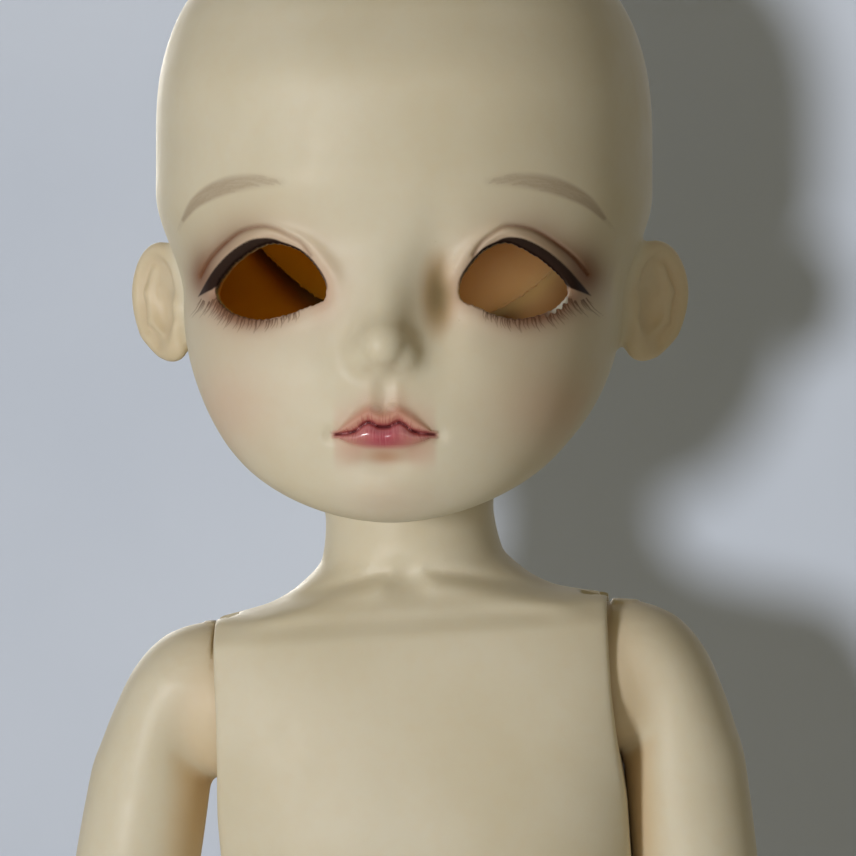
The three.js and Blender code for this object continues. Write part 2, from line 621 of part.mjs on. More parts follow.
// Upper arm: a ball on the chest's side, a column beside it, and a socket for the elbow
function upperArm(side, splay) {
  const length = UPPER_ARM_LENGTH;
  const across = side * ARM_OFFSET;
  const crest = SHOULDER_BALL;
  const elbow = point(across, 0, -length);
  const lean = (z) => {
    const share = THREE.MathUtils.clamp((z + crest) / (1.9 * crest), 0, 1);
    return { x: across * (1 - 0.62 * share * share) };
  };
  const body = limb(
    [
      [-length - 0.9 * ELBOW_HALF_WIDTH, 0.95 * ELBOW_HALF_WIDTH, 0.95 * ELBOW_HALF_WIDTH],
      [-length, ELBOW_HALF_WIDTH, ELBOW_HALF_WIDTH],
      [-0.87 * length, ELBOW_HALF_WIDTH, ELBOW_HALF_WIDTH],
      [-0.69 * length, 0.98 * ARM_HALF_WIDTH, 0.95 * ARM_HALF_DEPTH],
      [-0.46 * length, ARM_HALF_WIDTH, ARM_HALF_DEPTH],
      [-0.25 * length, 0.97 * ARM_HALF_WIDTH, ARM_HALF_DEPTH + 0.1],
      [-0.7 * crest, 0.87 * ARM_HALF_WIDTH, ARM_HALF_DEPTH + 0.2],
      [-0.15 * crest, 0.83 * ARM_HALF_WIDTH, ARM_HALF_DEPTH + 0.4],
      [0.11 * crest, 0.83 * ARM_HALF_WIDTH, ARM_HALF_DEPTH + 0.4],
      [0.39 * crest, 0.8 * ARM_HALF_WIDTH, 0.86 * crest],
      [0.68 * crest, 0.7 * ARM_HALF_WIDTH, 0.7 * crest],
      [0.87 * crest, 0.46 * ARM_HALF_WIDTH, 0.45 * crest],
      [0.95 * crest, 0.22 * ARM_HALF_WIDTH, 0.22 * crest],
    ],
    { shift: lean },
  );

  // Only the ball reaches past the chest's flat side
  const beside = SHOULDER_HALF_WIDTH - SHOULDER_SPREAD + 1.2 * JOINT_GAP;
  const chestSide = new THREE.BoxGeometry(AMPLE, AMPLE, AMPLE).translate(side * (beside - AMPLE / 2), 0, 0);
  chestSide.rotateY(radians(side * splay));
  const inward = 90 - splay;
  const slot = cordWay(inward - ARM_RAISE, inward, SHOULDER_BALL).rotate([0, 0, side * 90]);
  const bend = [[0.55, 0.02], [0.9, 0.09], [1, 0.22], [1, 0.55]];
  const route = bend.map(([out, down]) => point(across * out, 0, -length * down));
  const strung = [point(across * 0.16, 0, 0), ...route, point(across, 0, BORE_RADIUS - length)];
  const shape = cut(
    join(cut(body, solid(chestSide)), ball(SHOULDER_BALL)),
    solid(tube([ORIGIN, ...route, elbow], BORE_RADIUS, CORD_SIDES, 10)),
    slot,
    ball(ELBOW_BALL + JOINT_GAP, elbow),
    socketRelief(3 * ELBOW_HALF_WIDTH).translate([elbow.x, 0, elbow.z]),
  );
  return { shape, elbow, strung: tube(strung, CORD_RADIUS, CORD_SIDES, 10) };
}

// Forearm: a ball in the elbow, and a socket for the wrist, drifting sideways by its turn
function forearm(side, turn) {
  const drift = (down) => side * down * Math.tan(radians(turn));
  const onAxis = (down) => point(drift(down), 0, -down);
  const length = FOREARM_LENGTH;
  const middle = average(FOREARM_HALF_WIDTH, WRIST_HALF_WIDTH);
  const body = limb(
    [
      [0.35 * WRIST_BALL - length, WRIST_HALF_WIDTH, 0.95 * WRIST_HALF_WIDTH],
      [-0.85 * length, WRIST_HALF_WIDTH + 0.2, WRIST_HALF_WIDTH],
      [-0.6 * length, middle, middle],
      [-0.36 * length, 0.96 * FOREARM_HALF_WIDTH, 0.97 * FOREARM_HALF_WIDTH],
      [-0.18 * length, FOREARM_HALF_WIDTH, FOREARM_HALF_WIDTH],
      [-0.04 * length, ELBOW_HALF_WIDTH - 0.1, ELBOW_HALF_WIDTH],
    ],
    { shift: (z) => ({ x: drift(-z) }) },
  );
  const hookReach = WRIST_LOOP + WRIST_WIRE / 2 + SEAT_GAP;
  const hookTop = length - HOOK_SPAN - hookReach;
  const shape = cut(
    join(cut(body, ballRelief(ELBOW_BEND, 3 * ELBOW_HALF_WIDTH)), ball(ELBOW_BALL)),
    cordWay(-ELBOW_BEND, 0, ELBOW_BALL),
    bore(BORE_RADIUS, ORIGIN, onAxis(hookTop)),
    bore(hookReach, onAxis(hookTop - 1), onAxis(length)),
    ball(WRIST_BALL + JOINT_GAP, onAxis(length)),
  );
  return { shape, wrist: onAxis(length), strung: cord(onAxis(BORE_RADIUS), onAxis(hookTop)) };
}

// Hand: a ball, a palm that faces the leg, four fingers and a thumb towards the front
function handSolid(inward, cuts) {
  const palm = limb(
    [
      [-1.06 * PALM_LENGTH, 0.6 * PALM_HALF_THICKNESS, 0.86 * PALM_HALF_WIDTH],
      [-0.96 * PALM_LENGTH, 0.85 * PALM_HALF_THICKNESS, PALM_HALF_WIDTH],
      [-0.66 * PALM_LENGTH, 0.95 * PALM_HALF_THICKNESS, PALM_HALF_WIDTH],
      [-0.32 * PALM_LENGTH, PALM_HALF_THICKNESS, 0.86 * PALM_HALF_WIDTH],
      [-0.5 * WRIST_BALL, 0.95 * PALM_HALF_THICKNESS, 0.72 * PALM_HALF_WIDTH],
    ],
    { shift: () => ({ x: inward * 0.3 }) },
  );
  const digit = (radius, base, tip) => {
    const shares = [[1, 0.5], [0.93, 0.85], [0.55, 0.95], [0, 1]];
    const rings = shares.map(([share, size]) => {
      const { x, y, z } = base.clone().lerp(tip, share);
      const curl = inward * share * share;
      return ring({ x: x + curl, y, z, width: radius * size, front: radius * size }, FINGER_SIDES);
    });
    return solid(skin(rings));
  };
  const pitch = 2 * FINGER_RADIUS + FINGER_GAP;
  const fingers = [[-1.5, 0.9], [-0.5, 1], [0.5, 0.96], [1.5, 0.8]].map(([place, share]) =>
    digit(
      FINGER_RADIUS,
      point(inward * 0.3, place * pitch, -0.9 * PALM_LENGTH),
      point(inward * 0.6, place * pitch, -PALM_LENGTH - FINGER_LENGTH * share),
    ),
  );
  const root = -0.4 * PALM_LENGTH;
  const thumb = digit(
    THUMB_RADIUS,
    point(inward * 0.6, -0.6 * PALM_HALF_WIDTH, root),
    point(inward * 1.2, -PALM_HALF_WIDTH - 1.6, root - THUMB_LENGTH),
  );
  return cut(join(ball(WRIST_BALL), palm, ...fingers, thumb), ...cuts);
}

// One arm, hung from its shoulder's centre and turned out by its splay
function buildArm(name, side, splay, forearmTurn) {
  const shoulder = jointAt(`shoulder_${name}`, point(side * SHOULDER_SPREAD, 0, SHOULDER_Z), -side * splay);
  const upper = upperArm(side, splay);
  shoulder.add(mesh(`upper_arm_${name}`, geometryOf(upper.shape), resin()));
  shoulder.add(mesh(`upper_arm_cord_${name}`, upper.strung, elastic()));

  // The short cord between the chest and the ball stays level with the chest
  const level = jointAt("", ORIGIN, side * splay);
  const inner = -side * (SHOULDER_BALL - 3 - SEAT_GAP);
  level.add(mesh(`shoulder_cord_${name}`, cord(point(inner, 0, 0), point(-side * 1.1, 0, 0)), elastic()));
  // A raised arm levers on the rim above the socket, which draws the ball out of it
  const rim = SHOULDER_HALF_WIDTH - SHOULDER_SPREAD + 0.6 * JOINT_GAP;
  level.add(jointAt(`shoulder_rim_${name}`, point(side * rim, 0, SHOULDER_BALL)));
  shoulder.add(level);

  const elbow = jointAt(`elbow_${name}`, upper.elbow);
  const lower = forearm(side, forearmTurn);
  elbow.add(mesh(`forearm_${name}`, geometryOf(lower.shape), resin()));
  elbow.add(mesh(`forearm_cord_${name}`, lower.strung, elastic()));
  shoulder.add(elbow);

  const wrist = jointAt(`wrist_${name}`, lower.wrist, -side * forearmTurn);
  const seat = hookSeat(WRIST_WIRE, WRIST_LOOP, WRIST_BALL, point(0, 1, 0));
  wrist.add(mesh(`wrist_s_hook_${name}`, sHook(WRIST_WIRE, WRIST_LOOP, HOOK_SPAN), steel()));
  wrist.add(mesh(`hand_${name}`, geometryOf(handSolid(-side, seat.cuts)), resin()));
  wrist.add(mesh(`wrist_pin_${name}`, seat.pin, steel()));
  elbow.add(wrist);
  return shoulder;
}

// Thigh: a ball in the pelvis, full just below it, and a socket for the knee
function thighSolid(knee) {
  const length = THIGH_LENGTH;
  const cone = radians(THIGH_CONE);
  const brim = 0.97 * HIP_BALL * Math.sin(cone);
  const middle = average(KNEE_RADIUS, THIGH_RADIUS);
  const body = limb([
    [-length - 0.9 * KNEE_RADIUS, 0.95 * KNEE_RADIUS, 0.95 * KNEE_RADIUS],
    [-length, KNEE_RADIUS, KNEE_RADIUS],
    [-0.86 * length, KNEE_RADIUS, KNEE_RADIUS + 0.1],
    [-0.66 * length, middle, middle],
    [-0.42 * length, 0.97 * THIGH_RADIUS, 0.97 * THIGH_RADIUS],
    [-0.28 * length, THIGH_RADIUS, THIGH_RADIUS],
    [-1.08 * HIP_BALL, 0.98 * THIGH_RADIUS, 0.98 * THIGH_RADIUS],
    [-0.8 * HIP_BALL, 0.92 * THIGH_RADIUS, 0.92 * THIGH_RADIUS],
    [-HIP_BALL * Math.cos(cone), brim, brim],
    [-0.4 * HIP_BALL, 0.5 * HIP_BALL, 0.5 * HIP_BALL],
  ]);
  return cut(
    join(body, ball(HIP_BALL)),
    cordWay(-HIP_FORWARD, HIP_BACK, HIP_BALL),
    bore(BORE_RADIUS, ORIGIN, knee),
    ball(KNEE_BALL + JOINT_GAP, knee),
    turnedAbout(socketRelief(3 * KNEE_RADIUS)).translate([0, 0, knee.z]),
  );
}

// Shin: a ball in the knee, a calf that is fuller behind, and a socket for the ankle
function shinSolid(ankle, hookTop, hookReach) {
  const length = SHIN_LENGTH;
  const body = limb([
    [0.3 * ANKLE_BALL - length, ANKLE_RADIUS, ANKLE_RADIUS],
    [-0.82 * length, ANKLE_RADIUS + 0.2, ANKLE_RADIUS + 0.2],
    [-0.58 * length, 0.85 * CALF_RADIUS, 0.82 * CALF_RADIUS, 0.86 * CALF_BACK],
    [-0.33 * length, CALF_RADIUS, 0.93 * CALF_RADIUS, CALF_BACK],
    [-0.15 * length, CALF_RADIUS, 0.97 * CALF_RADIUS, 0.96 * CALF_BACK],
    [-0.03 * length, KNEE_RADIUS - 0.1, KNEE_RADIUS],
  ]);
  return cut(
    join(cut(body, turnedAbout(ballRelief(KNEE_BEND, 3 * KNEE_RADIUS))), ball(KNEE_BALL)),
    turnedAbout(cordWay(-KNEE_BEND, 0, KNEE_BALL)),
    bore(BORE_RADIUS, ORIGIN, hookTop),
    bore(hookReach, hookTop.clone().setZ(hookTop.z + 1), ankle),
    ball(ANKLE_BALL + JOINT_GAP, ankle),
  );
}

// Foot: a ball, an instep and a flat sole
function footSolid(cuts) {
  const sole = -ANKLE_HEIGHT;
  const up = (share) => sole + share * ANKLE_HEIGHT;
  const block = limb(
    [
      [sole, FOOT_HALF_WIDTH - 0.5, FOOT_FRONT - 0.6, FOOT_HEEL - 0.5, 2.4],
      [up(0.05), FOOT_HALF_WIDTH, FOOT_FRONT, FOOT_HEEL, 2.4],
      [up(0.3), FOOT_HALF_WIDTH - 0.1, 0.97 * FOOT_FRONT, FOOT_HEEL, 2.4],
      [up(0.42), 0.95 * FOOT_HALF_WIDTH, 0.8 * FOOT_FRONT, 0.97 * FOOT_HEEL, 2.3],
      [up(0.55), 0.86 * FOOT_HALF_WIDTH, 0.5 * FOOT_FRONT, 0.92 * FOOT_HEEL, 2.2],
      [up(0.74), 0.72 * FOOT_HALF_WIDTH, 0.75 * FOOT_HALF_WIDTH],
      [-0.4 * ANKLE_BALL, 0.9 * ANKLE_BALL, 0.9 * ANKLE_BALL],
    ],
    { sides: TORSO_SIDES },
  );
  return cut(join(ball(ANKLE_BALL), block), ...cuts);
}

// One leg, hung straight down from its hip's centre
function buildLeg(name, side) {
  const hip = jointAt(`hip_${name}`, point(side * HIP_SPREAD, 0, HIP_Z));
  const kneeAt = point(0, 0, -THIGH_LENGTH);
  const hipCord = cord(point(0, 0, BORE_RADIUS), point(0, 0, HIP_BALL));
  const thighCord = cord(point(0, 0, -BORE_RADIUS), point(0, 0, BORE_RADIUS - THIGH_LENGTH));
  hip.add(mesh(`thigh_${name}`, geometryOf(thighSolid(kneeAt)), resin()));
  hip.add(mesh(`hip_cord_${name}`, hipCord, elastic()));
  hip.add(mesh(`thigh_cord_${name}`, thighCord, elastic()));

  const knee = jointAt(`knee_${name}`, kneeAt);
  const ankleAt = point(0, 0, -SHIN_LENGTH);
  const hookReach = ANKLE_LOOP + ANKLE_WIRE / 2 + SEAT_GAP;
  const hookTop = point(0, 0, HOOK_SPAN + hookReach - SHIN_LENGTH);
  knee.add(mesh(`shin_${name}`, geometryOf(shinSolid(ankleAt, hookTop, hookReach)), resin()));
  knee.add(mesh(`shin_cord_${name}`, cord(point(0, 0, -BORE_RADIUS), hookTop), elastic()));
  hip.add(knee);

  const ankle = jointAt(`ankle_${name}`, ankleAt);
  const seat = hookSeat(ANKLE_WIRE, ANKLE_LOOP, ANKLE_BALL, point(1, 0, 0));
  const hook = sHook(ANKLE_WIRE, ANKLE_LOOP, HOOK_SPAN).rotateZ(Math.PI / 2);
  ankle.add(mesh(`ankle_s_hook_${name}`, hook, steel()));
  ankle.add(mesh(`foot_${name}`, geometryOf(footSolid(seat.cuts)), resin()));
  ankle.add(mesh(`ankle_pin_${name}`, seat.pin, steel()));
  knee.add(ankle);
  return hip;
}

const doll = new THREE.Group();
doll.add(buildPelvis());
doll.add(buildChest());
doll.add(buildHead());
doll.add(buildArm("left", 1, LEFT_ARM_SPLAY, LEFT_FOREARM_TURN));
doll.add(buildArm("right", -1, RIGHT_ARM_SPLAY, RIGHT_FOREARM_TURN));
doll.add(buildLeg("left", 1));
doll.add(buildLeg("right", -1));

export default doll;
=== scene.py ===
"""A ball-jointed resin doll: its castings, stringing and face paint, and the studio round it.

Sizes are in millimetres in each casting's own frame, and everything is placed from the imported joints.
"""
import json

import bmesh
import bpy
import numpy as np
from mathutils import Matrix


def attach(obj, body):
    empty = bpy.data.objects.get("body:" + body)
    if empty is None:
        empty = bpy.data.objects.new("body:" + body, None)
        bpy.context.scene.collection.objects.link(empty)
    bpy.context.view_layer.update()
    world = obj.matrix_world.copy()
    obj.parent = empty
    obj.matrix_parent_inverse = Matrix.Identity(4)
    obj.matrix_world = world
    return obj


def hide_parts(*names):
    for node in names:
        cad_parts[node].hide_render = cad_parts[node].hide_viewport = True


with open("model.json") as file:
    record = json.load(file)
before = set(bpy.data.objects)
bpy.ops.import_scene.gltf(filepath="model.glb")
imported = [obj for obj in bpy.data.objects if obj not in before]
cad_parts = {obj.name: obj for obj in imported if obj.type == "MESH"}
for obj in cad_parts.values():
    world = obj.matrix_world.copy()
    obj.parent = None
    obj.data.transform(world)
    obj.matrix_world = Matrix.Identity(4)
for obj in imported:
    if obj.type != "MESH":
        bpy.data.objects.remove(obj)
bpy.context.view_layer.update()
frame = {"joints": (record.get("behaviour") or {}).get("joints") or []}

import openvdb
from mathutils import Matrix, Vector

MM = 0.001

# Balls and clearances
NECK_BALL, SHOULDER_BALL, ELBOW_BALL, WRIST_BALL = 9.6, 8.0, 4.7, 3.1
WAIST_BALL, HIP_BALL, KNEE_BALL, ANKLE_BALL = 21.0, 10.8, 6.6, 4.2
JOINT_GAP, SEAT_GAP, SWEEP_GAP = 0.35, 0.3, 4.0
CORD_RADIUS, BORE_RADIUS, BORE_EASE, CORD_INSET = 1.3, 1.9, 0.6, 3
# A bore is drawn this far past the piece that it leaves
CLEAR = 20
ELBOW_BEND, KNEE_BEND, HIP_FORWARD, HIP_BACK = 90, 90, 75, 20
ARM_RAISE, HEAD_NOD, WAIST_BEND = 30, 15, 15
RIM_BENDING, RIM_BACKING = 40, 125

# Head
HEAD_WIDTH, JAW_WIDTH, HEAD_HEIGHT, FACE_DEPTH, SKULL_DEPTH = 52.0, 45.8, 63.0, 27.4, 30.6
HEAD_WALL, CHIN_BELOW_NECK, SPINE_SETBACK = 2.6, 5.5, 3.2
JAW_LEVEL, TEMPLE_LEVEL, CROWN_LEVEL = 0.36 * HEAD_HEIGHT, 0.54 * HEAD_HEIGHT, 0.62 * HEAD_HEIGHT
JAW_POWER, CROWN_POWER, HEAD_POWER = 2.0, 2.6, 2.25
CAP_TOP_SETBACK, CAP_LOW_LEVEL, CAP_GAP = 4.0, 17.0, 0.3
RIM_REACH, RIM_ANGLE = 1.2, 0.4
MAGNET_RADIUS, MAGNET_THICKNESS, MAGNET_RIM, MAGNET_SPREAD = 2.5, 2.0, 1.3, 18.2
EAR_LEVEL, EAR_HALF_HEIGHT, EAR_HALF_DEPTH, EAR_FLARE, EAR_SINK = 22.9, 6.3, 4.7, 45, 0.3
NECK_WIRE, NECK_LOOP, HOOK_SWAY = 1.4, 1.7, 10

# Torso
SHOULDER_HALF_WIDTH, RIB_HALF_WIDTH, WAIST_HALF_WIDTH, HIP_HALF_WIDTH = 20.4, 21.2, 19.8, 22.6
CHEST_FRONT, CHEST_BACK, BELLY_FRONT, BELLY_BACK, SEAT_BACK = 14.0, 12.8, 12.8, 11.6, 14.4
SHOULDER_RISE, NECK_HALF_WIDTH, NECK_BASE_DROP = 8.4, 8.9, 11.5
SEAT_DROP, TORSO_WALL = 5.0, 3.2

# Limbs
ARM_HALF_WIDTH, ARM_HALF_DEPTH = 6.5, 6.9
ELBOW_HALF_WIDTH, FOREARM_HALF_WIDTH, WRIST_HALF_WIDTH = 5.9, 5.9, 4.0
PALM_LENGTH, PALM_HALF_WIDTH, PALM_HALF_THICKNESS = 10.5, 4.1, 2.5
FINGER_LENGTH, FINGER_RADIUS, THUMB_LENGTH = 8.4, 0.98, 6.6
WRIST_WIRE, WRIST_LOOP, ANKLE_WIRE, ANKLE_LOOP, HOOK_SPAN = 0.9, 1.3, 1.2, 1.7, 6.0
PIN_SHARE = 0.78
THIGH_RADIUS, THIGH_CONE, KNEE_RADIUS = 10.9, 55, 8.1
CALF_RADIUS, CALF_BACK, ANKLE_RADIUS = 7.9, 8.7, 5.4
FOOT_FRONT, FOOT_HEEL, FOOT_HALF_WIDTH = 27.0, 10.0, 7.2

# Mesh fineness
STEP, FINE_STEP, FOOT_STEP, HAND_STEP = 0.6, 0.5, 0.45, 0.32

JOINTS = {joint["name"]: joint for joint in frame["joints"]}
SIDES = {"left": 1, "right": -1}


def pivot(joint):
    return np.array(JOINTS[joint]["pos_m"]) / MM


# Signed distances, as functions of points in rows of x, y and z

def union(a, b, k):
    h = np.clip(0.5 + 0.5 * (b - a) / k, 0, 1)
    return b + (a - b) * h - k * h * (1 - h)


def common(a, b, k):
    return -union(-a, -b, k)


def cut(body, tool, k):
    return common(body, -tool, k)


def ramp(low, high, value):
    t = np.clip((value - low) / (high - low), 0, 1)
    return t * t * (3 - 2 * t)


def mound(u, v, at_u, at_v, size_u, size_v):
    return np.exp(-(((u - at_u) / size_u) ** 2) - ((v - at_v) / size_v) ** 2)


def bell(value, width):
    return np.exp(-((value / width) ** 2))


def folded(P):
    """The points with the doll's right laid on the left."""
    return np.concatenate([np.abs(P[:, :1]), P[:, 1:]], 1)


def sphere(P, centre, radius):
    return np.linalg.norm(P - np.asarray(centre, float), axis=1) - radius


def ellipsoid(P, centre, radii):
    q = P - np.asarray(centre, float)
    near = np.linalg.norm(q / radii, axis=1)
    steep = np.linalg.norm(q / np.square(radii), axis=1)
    return near * (near - 1) / np.maximum(steep, 1e-6)


def capsule(P, a, b, radius_a, radius_b=None):
    a, b = np.asarray(a, float), np.asarray(b, float)
    line = b - a
    share = np.clip((P - a) @ line / (line @ line), 0, 1)
    radius = radius_a + ((radius_a if radius_b is None else radius_b) - radius_a) * share
    return np.linalg.norm(P - a - share[:, None] * line, axis=1) - radius


def chain(P, points, radii, k):
    body = None
    for a, b, ra, rb in zip(points, points[1:], radii, radii[1:]):
        link = capsule(P, a, b, ra, rb)
        body = link if body is None else union(body, link, k)
    return body


def drum(P, a, b, radius, k=0.2):
    """A cylinder with flat ends."""
    a, b = np.asarray(a, float), np.asarray(b, float)
    axis = (b - a) / np.linalg.norm(b - a)
    along = (P - a) @ axis
    around = np.linalg.norm(P - a - along[:, None] * axis, axis=1) - radius
    return common(around, np.maximum(-along, along - np.linalg.norm(b - a)), k)


def slab(P, centre, half):
    q = np.abs(P - np.asarray(centre, float)) - np.asarray(half, float)
    return np.linalg.norm(np.maximum(q, 0), axis=1) + np.minimum(q.max(1), 0)


def wedge(P, start, end):
    """Between two angles about the X axis, in degrees from straight up towards the back."""
    y, z = P[:, 1], P[:, 2]
    middle, half = np.radians((start + end) / 2), np.radians((end - start) / 2)
    off = np.abs((np.arctan2(y, z) - middle + np.pi) % (2 * np.pi) - np.pi)
    return np.hypot(y, z) * np.sin(np.clip(off - half, -np.pi / 2, np.pi / 2))


def cord_way(P, start, end):
    """The slot that a cord leaves in a ball turning under it."""
    y, z = P[:, 1], P[:, 2]
    middle, half = np.radians((start + end) / 2), np.radians((end - start) / 2)
    off = (np.arctan2(y, z) - middle + np.pi) % (2 * np.pi) - np.pi
    kept = middle + np.clip(off, -half, half)
    along = np.maximum(y * np.sin(kept) + z * np.cos(kept), 0)
    aside = np.hypot(y - along * np.sin(kept), z - along * np.cos(kept))
    return np.hypot(aside, P[:, 0]) - BORE_RADIUS


def turned_about(P):
    return P * (-1, -1, 1)


def smooth_through(x, y, at):
    """A smooth curve through points that doesn't overshoot between them."""
    x, y = np.asarray(x, float), np.asarray(y, float)
    step, rise = np.diff(x), np.diff(y) / np.diff(x)
    slope = np.zeros(len(x))
    agree = rise[:-1] * rise[1:] > 0
    total = np.where(agree, rise[:-1] + rise[1:], 1)
    slope[1:-1] = np.where(agree, 2 * rise[:-1] * rise[1:] / total, 0)
    slope[0], slope[-1] = rise[0], rise[-1]
    at = np.clip(at, x[0], x[-1])
    i = np.clip(np.searchsorted(x, at) - 1, 0, len(x) - 2)
    t = (at - x[i]) / step[i]
    left = (1 + 2 * t) * y[i] + t * step[i] * slope[i]
    right = (3 - 2 * t) * y[i + 1] + (t - 1) * step[i] * slope[i + 1]
    return (1 - t) ** 2 * left + t * t * right


def loft(rows, shift=None, ends=1.0):
    """A limb through rings of height, half width, depth in front, depth behind and power.

    A depth that is left out is the one before it, and the power is then 2.
    """
    table = np.array([[*row, *[row[-1]] * (4 - len(row)), *[2] * (len(row) < 5)] for row in rows], float)
    heights = np.linspace(table[0, 0], table[-1, 0], 300)
    columns = [smooth_through(table[:, 0], table[:, i], heights) for i in range(1, 5)]
    low, high = table[0, 0], table[-1, 0]

    def field(P):
        x, y, z = P.T
        level = np.clip(z, low, high)
        width, front, back, power = (np.interp(level, heights, column) for column in columns)
        if shift:
            dx, dy = shift(level)
            x, y = x - dx, y - dy
        depth = np.where(y < 0, front, back)
        u, v = np.abs(x) / width + 1e-9, np.abs(y) / depth + 1e-9
        reach = (u**power + v**power) ** (1 / power)
        steep = reach ** (1 - power) * np.hypot(u ** (power - 1) / width, v ** (power - 1) / depth)
        side = (reach - 1) / np.maximum(steep, 0.6 / np.maximum(width, depth))
        return common(side, np.maximum(low - z, z - high), ends)

    return field


# Meshes from signed distances

def surface(field, low, high, step):
    """Points and quads where a field is zero. Only blocks of cells near the surface are worked out."""
    block = 4
    low = np.asarray(low, float) - 2 * step
    count = np.ceil((np.asarray(high, float) + 2 * step - low) / step).astype(int)
    blocks = -(-count // block)
    index = np.stack(np.meshgrid(*map(np.arange, blocks), indexing="ij"), -1).reshape(-1, 3)
    rough = field(low + step * block * (index + 0.5))
    far = 3 * step
    values = np.where(rough < 0, -far, far).reshape(blocks)
    for axis in range(3):
        values = np.repeat(values, block, axis)
    near = index[np.abs(rough) < 1.9 * step * block]
    inside = np.stack(np.meshgrid(*[np.arange(block)] * 3, indexing="ij"), -1).reshape(-1, 3)
    for part in np.array_split(near, max(1, len(near) // 6000)):
        cells = (part[:, None] * block + inside).reshape(-1, 3)
        values[tuple(cells.T)] = np.clip(field(low + step * cells), -far, far)
    grid = openvdb.FloatGrid()
    grid.copyFromArray(np.ascontiguousarray(values, np.float32))
    points, quads = grid.convertToQuads(0.0)
    return low + step * np.asarray(points, float), np.asarray(quads, np.int64)


def gradient(field, P, reach=0.02):
    sides = np.eye(3) * reach
    return np.stack([field(P + side) - field(P - side) for side in sides], 1) / (2 * reach)


def settle(field, P, rounds, most):
    """Moves points onto the surface, and gives the directions that it faces there."""
    for _ in range(rounds):
        slope = gradient(field, P)
        length = np.maximum(np.linalg.norm(slope, axis=1, keepdims=True), 0.2)
        P = P - slope / length * np.clip(field(P)[:, None] / length, -most, most)
    slope = gradient(field, P)
    return P, slope / np.maximum(np.linalg.norm(slope, axis=1, keepdims=True), 1e-6)


def coordinates(mesh):
    flat = np.empty(len(mesh.vertices) * 3, np.float32)
    mesh.vertices.foreach_get("co", flat)
    return flat.reshape(-1, 3).astype(float)


def bare_mesh(name, points, quads):
    mesh = bpy.data.meshes.new(name)
    mesh.vertices.add(len(points))
    mesh.vertices.foreach_set("co", np.asarray(points, np.float32).ravel())
    mesh.loops.add(quads.size)
    mesh.loops.foreach_set("vertex_index", quads.ravel().astype(np.int32))
    mesh.polygons.add(len(quads))
    mesh.polygons.foreach_set("loop_start", np.arange(0, quads.size, quads.shape[1], dtype=np.int32))
    mesh.update(calc_edges=True)
    mesh.validate()
    return mesh


def edited(mesh, change):
    bm = bmesh.new()
    bm.from_mesh(mesh)
    change(bm)
    bm.to_mesh(mesh)
    bm.free()


def split(mesh, edges):
    def change(bm):
        bm.edges.ensure_lookup_table()
        chosen = [bm.edges[i] for i in np.flatnonzero(edges)]
        bmesh.ops.subdivide_edges(bm, edges=chosen, cuts=1, use_grid_fill=True)

    edited(mesh, change)


def cast(name, field, low, high, step=STEP, rounds=1, crisp=16, region=None):
    """A mesh of a field, finer where it bends sharply and in a region."""
    mesh = bare_mesh(name, *surface(field, low, high, step))
    rounds = rounds
    for level in range(rounds + 1):
        points, facing = settle(field, coordinates(mesh), 3 if level == 0 else 2, step / 2)
        mesh.vertices.foreach_set("co", points.astype(np.float32).ravel())
        if level == rounds:
            break
        ends = np.empty(len(mesh.edges) * 2, np.int32)
        mesh.edges.foreach_get("vertices", ends)
        a, b = ends.reshape(-1, 2).T
        long = np.linalg.norm(points[a] - points[b], axis=1) > 0.3 * step / 2**level
        wanted = (facing[a] * facing[b]).sum(1) < np.cos(np.radians(crisp if level < 2 else 90))
        if region is not None:
            inner = region(points, level)
            wanted |= inner[a] & inner[b]
        split(mesh, wanted & long)
    mesh.shade_smooth()
    mesh.update()
    return mesh, points, facing


def shown(name, mesh, place, body, nodes, material):
    """A piece in the scene, from a mesh in millimetres."""
    mesh.transform(place)
    piece = bpy.data.objects.new(name, mesh)
    bpy.context.scene.collection.objects.link(piece)
    mesh.materials.append(material)
    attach(piece, body)
    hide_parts(*nodes)


def placed(origin, x=(1, 0, 0), y=(0, 1, 0)):
    """The frame with its origin at a joint, from its X and Y directions."""
    x, y = np.asarray(x, float), np.asarray(y, float)
    z = np.cross(x, y)
    turn = np.eye(4)
    turn[:3, :3] = np.stack([x, y, z / np.linalg.norm(z)], 1)
    turn[:3, 3] = origin
    return Matrix.Scale(MM, 4) @ Matrix(turn.tolist())


# Colours and materials

def linear(red, green, blue):
    share = np.array([red, green, blue]) / 255
    return np.where(share <= 0.04045, share / 12.92, ((share + 0.055) / 1.055) ** 2.4)


RESIN = linear(216, 206, 179)
RESIN_PALE = linear(223, 215, 192)
# This warm colour serves both the random warm flecks and the painted warm glow
RESIN_FLECK_AND_GLOW = linear(214, 170, 104)


def nodes_of(name):
    material = bpy.data.materials.new(name)
    material.use_nodes = True
    tree = material.node_tree
    return material, tree, tree.nodes["Principled BSDF"]


def add(tree, kind, inputs=None, **settings):
    node = tree.nodes.new(kind)
    for key, value in settings.items():
        setattr(node, key, value)
    for key, value in (inputs or {}).items():
        if isinstance(value, bpy.types.NodeSocket):
            tree.links.new(value, node.inputs[key])
        else:
            node.inputs[key].default_value = value
    return node


def feed(shader, socket, value):
    shader.id_data.links.new(value, shader.inputs[socket])


def noise(tree, where, scale, detail=3, roughness=0.55):
    inputs = {"Vector": where, "Scale": scale, "Detail": detail, "Roughness": roughness}
    return add(tree, "ShaderNodeTexNoise", inputs).outputs["Fac"]


def remap(tree, value, low, high, to_low, to_high):
    inputs = {"Value": value, "From Min": low, "From Max": high, "To Min": to_low, "To Max": to_high}
    return add(tree, "ShaderNodeMapRange", inputs).outputs["Result"]


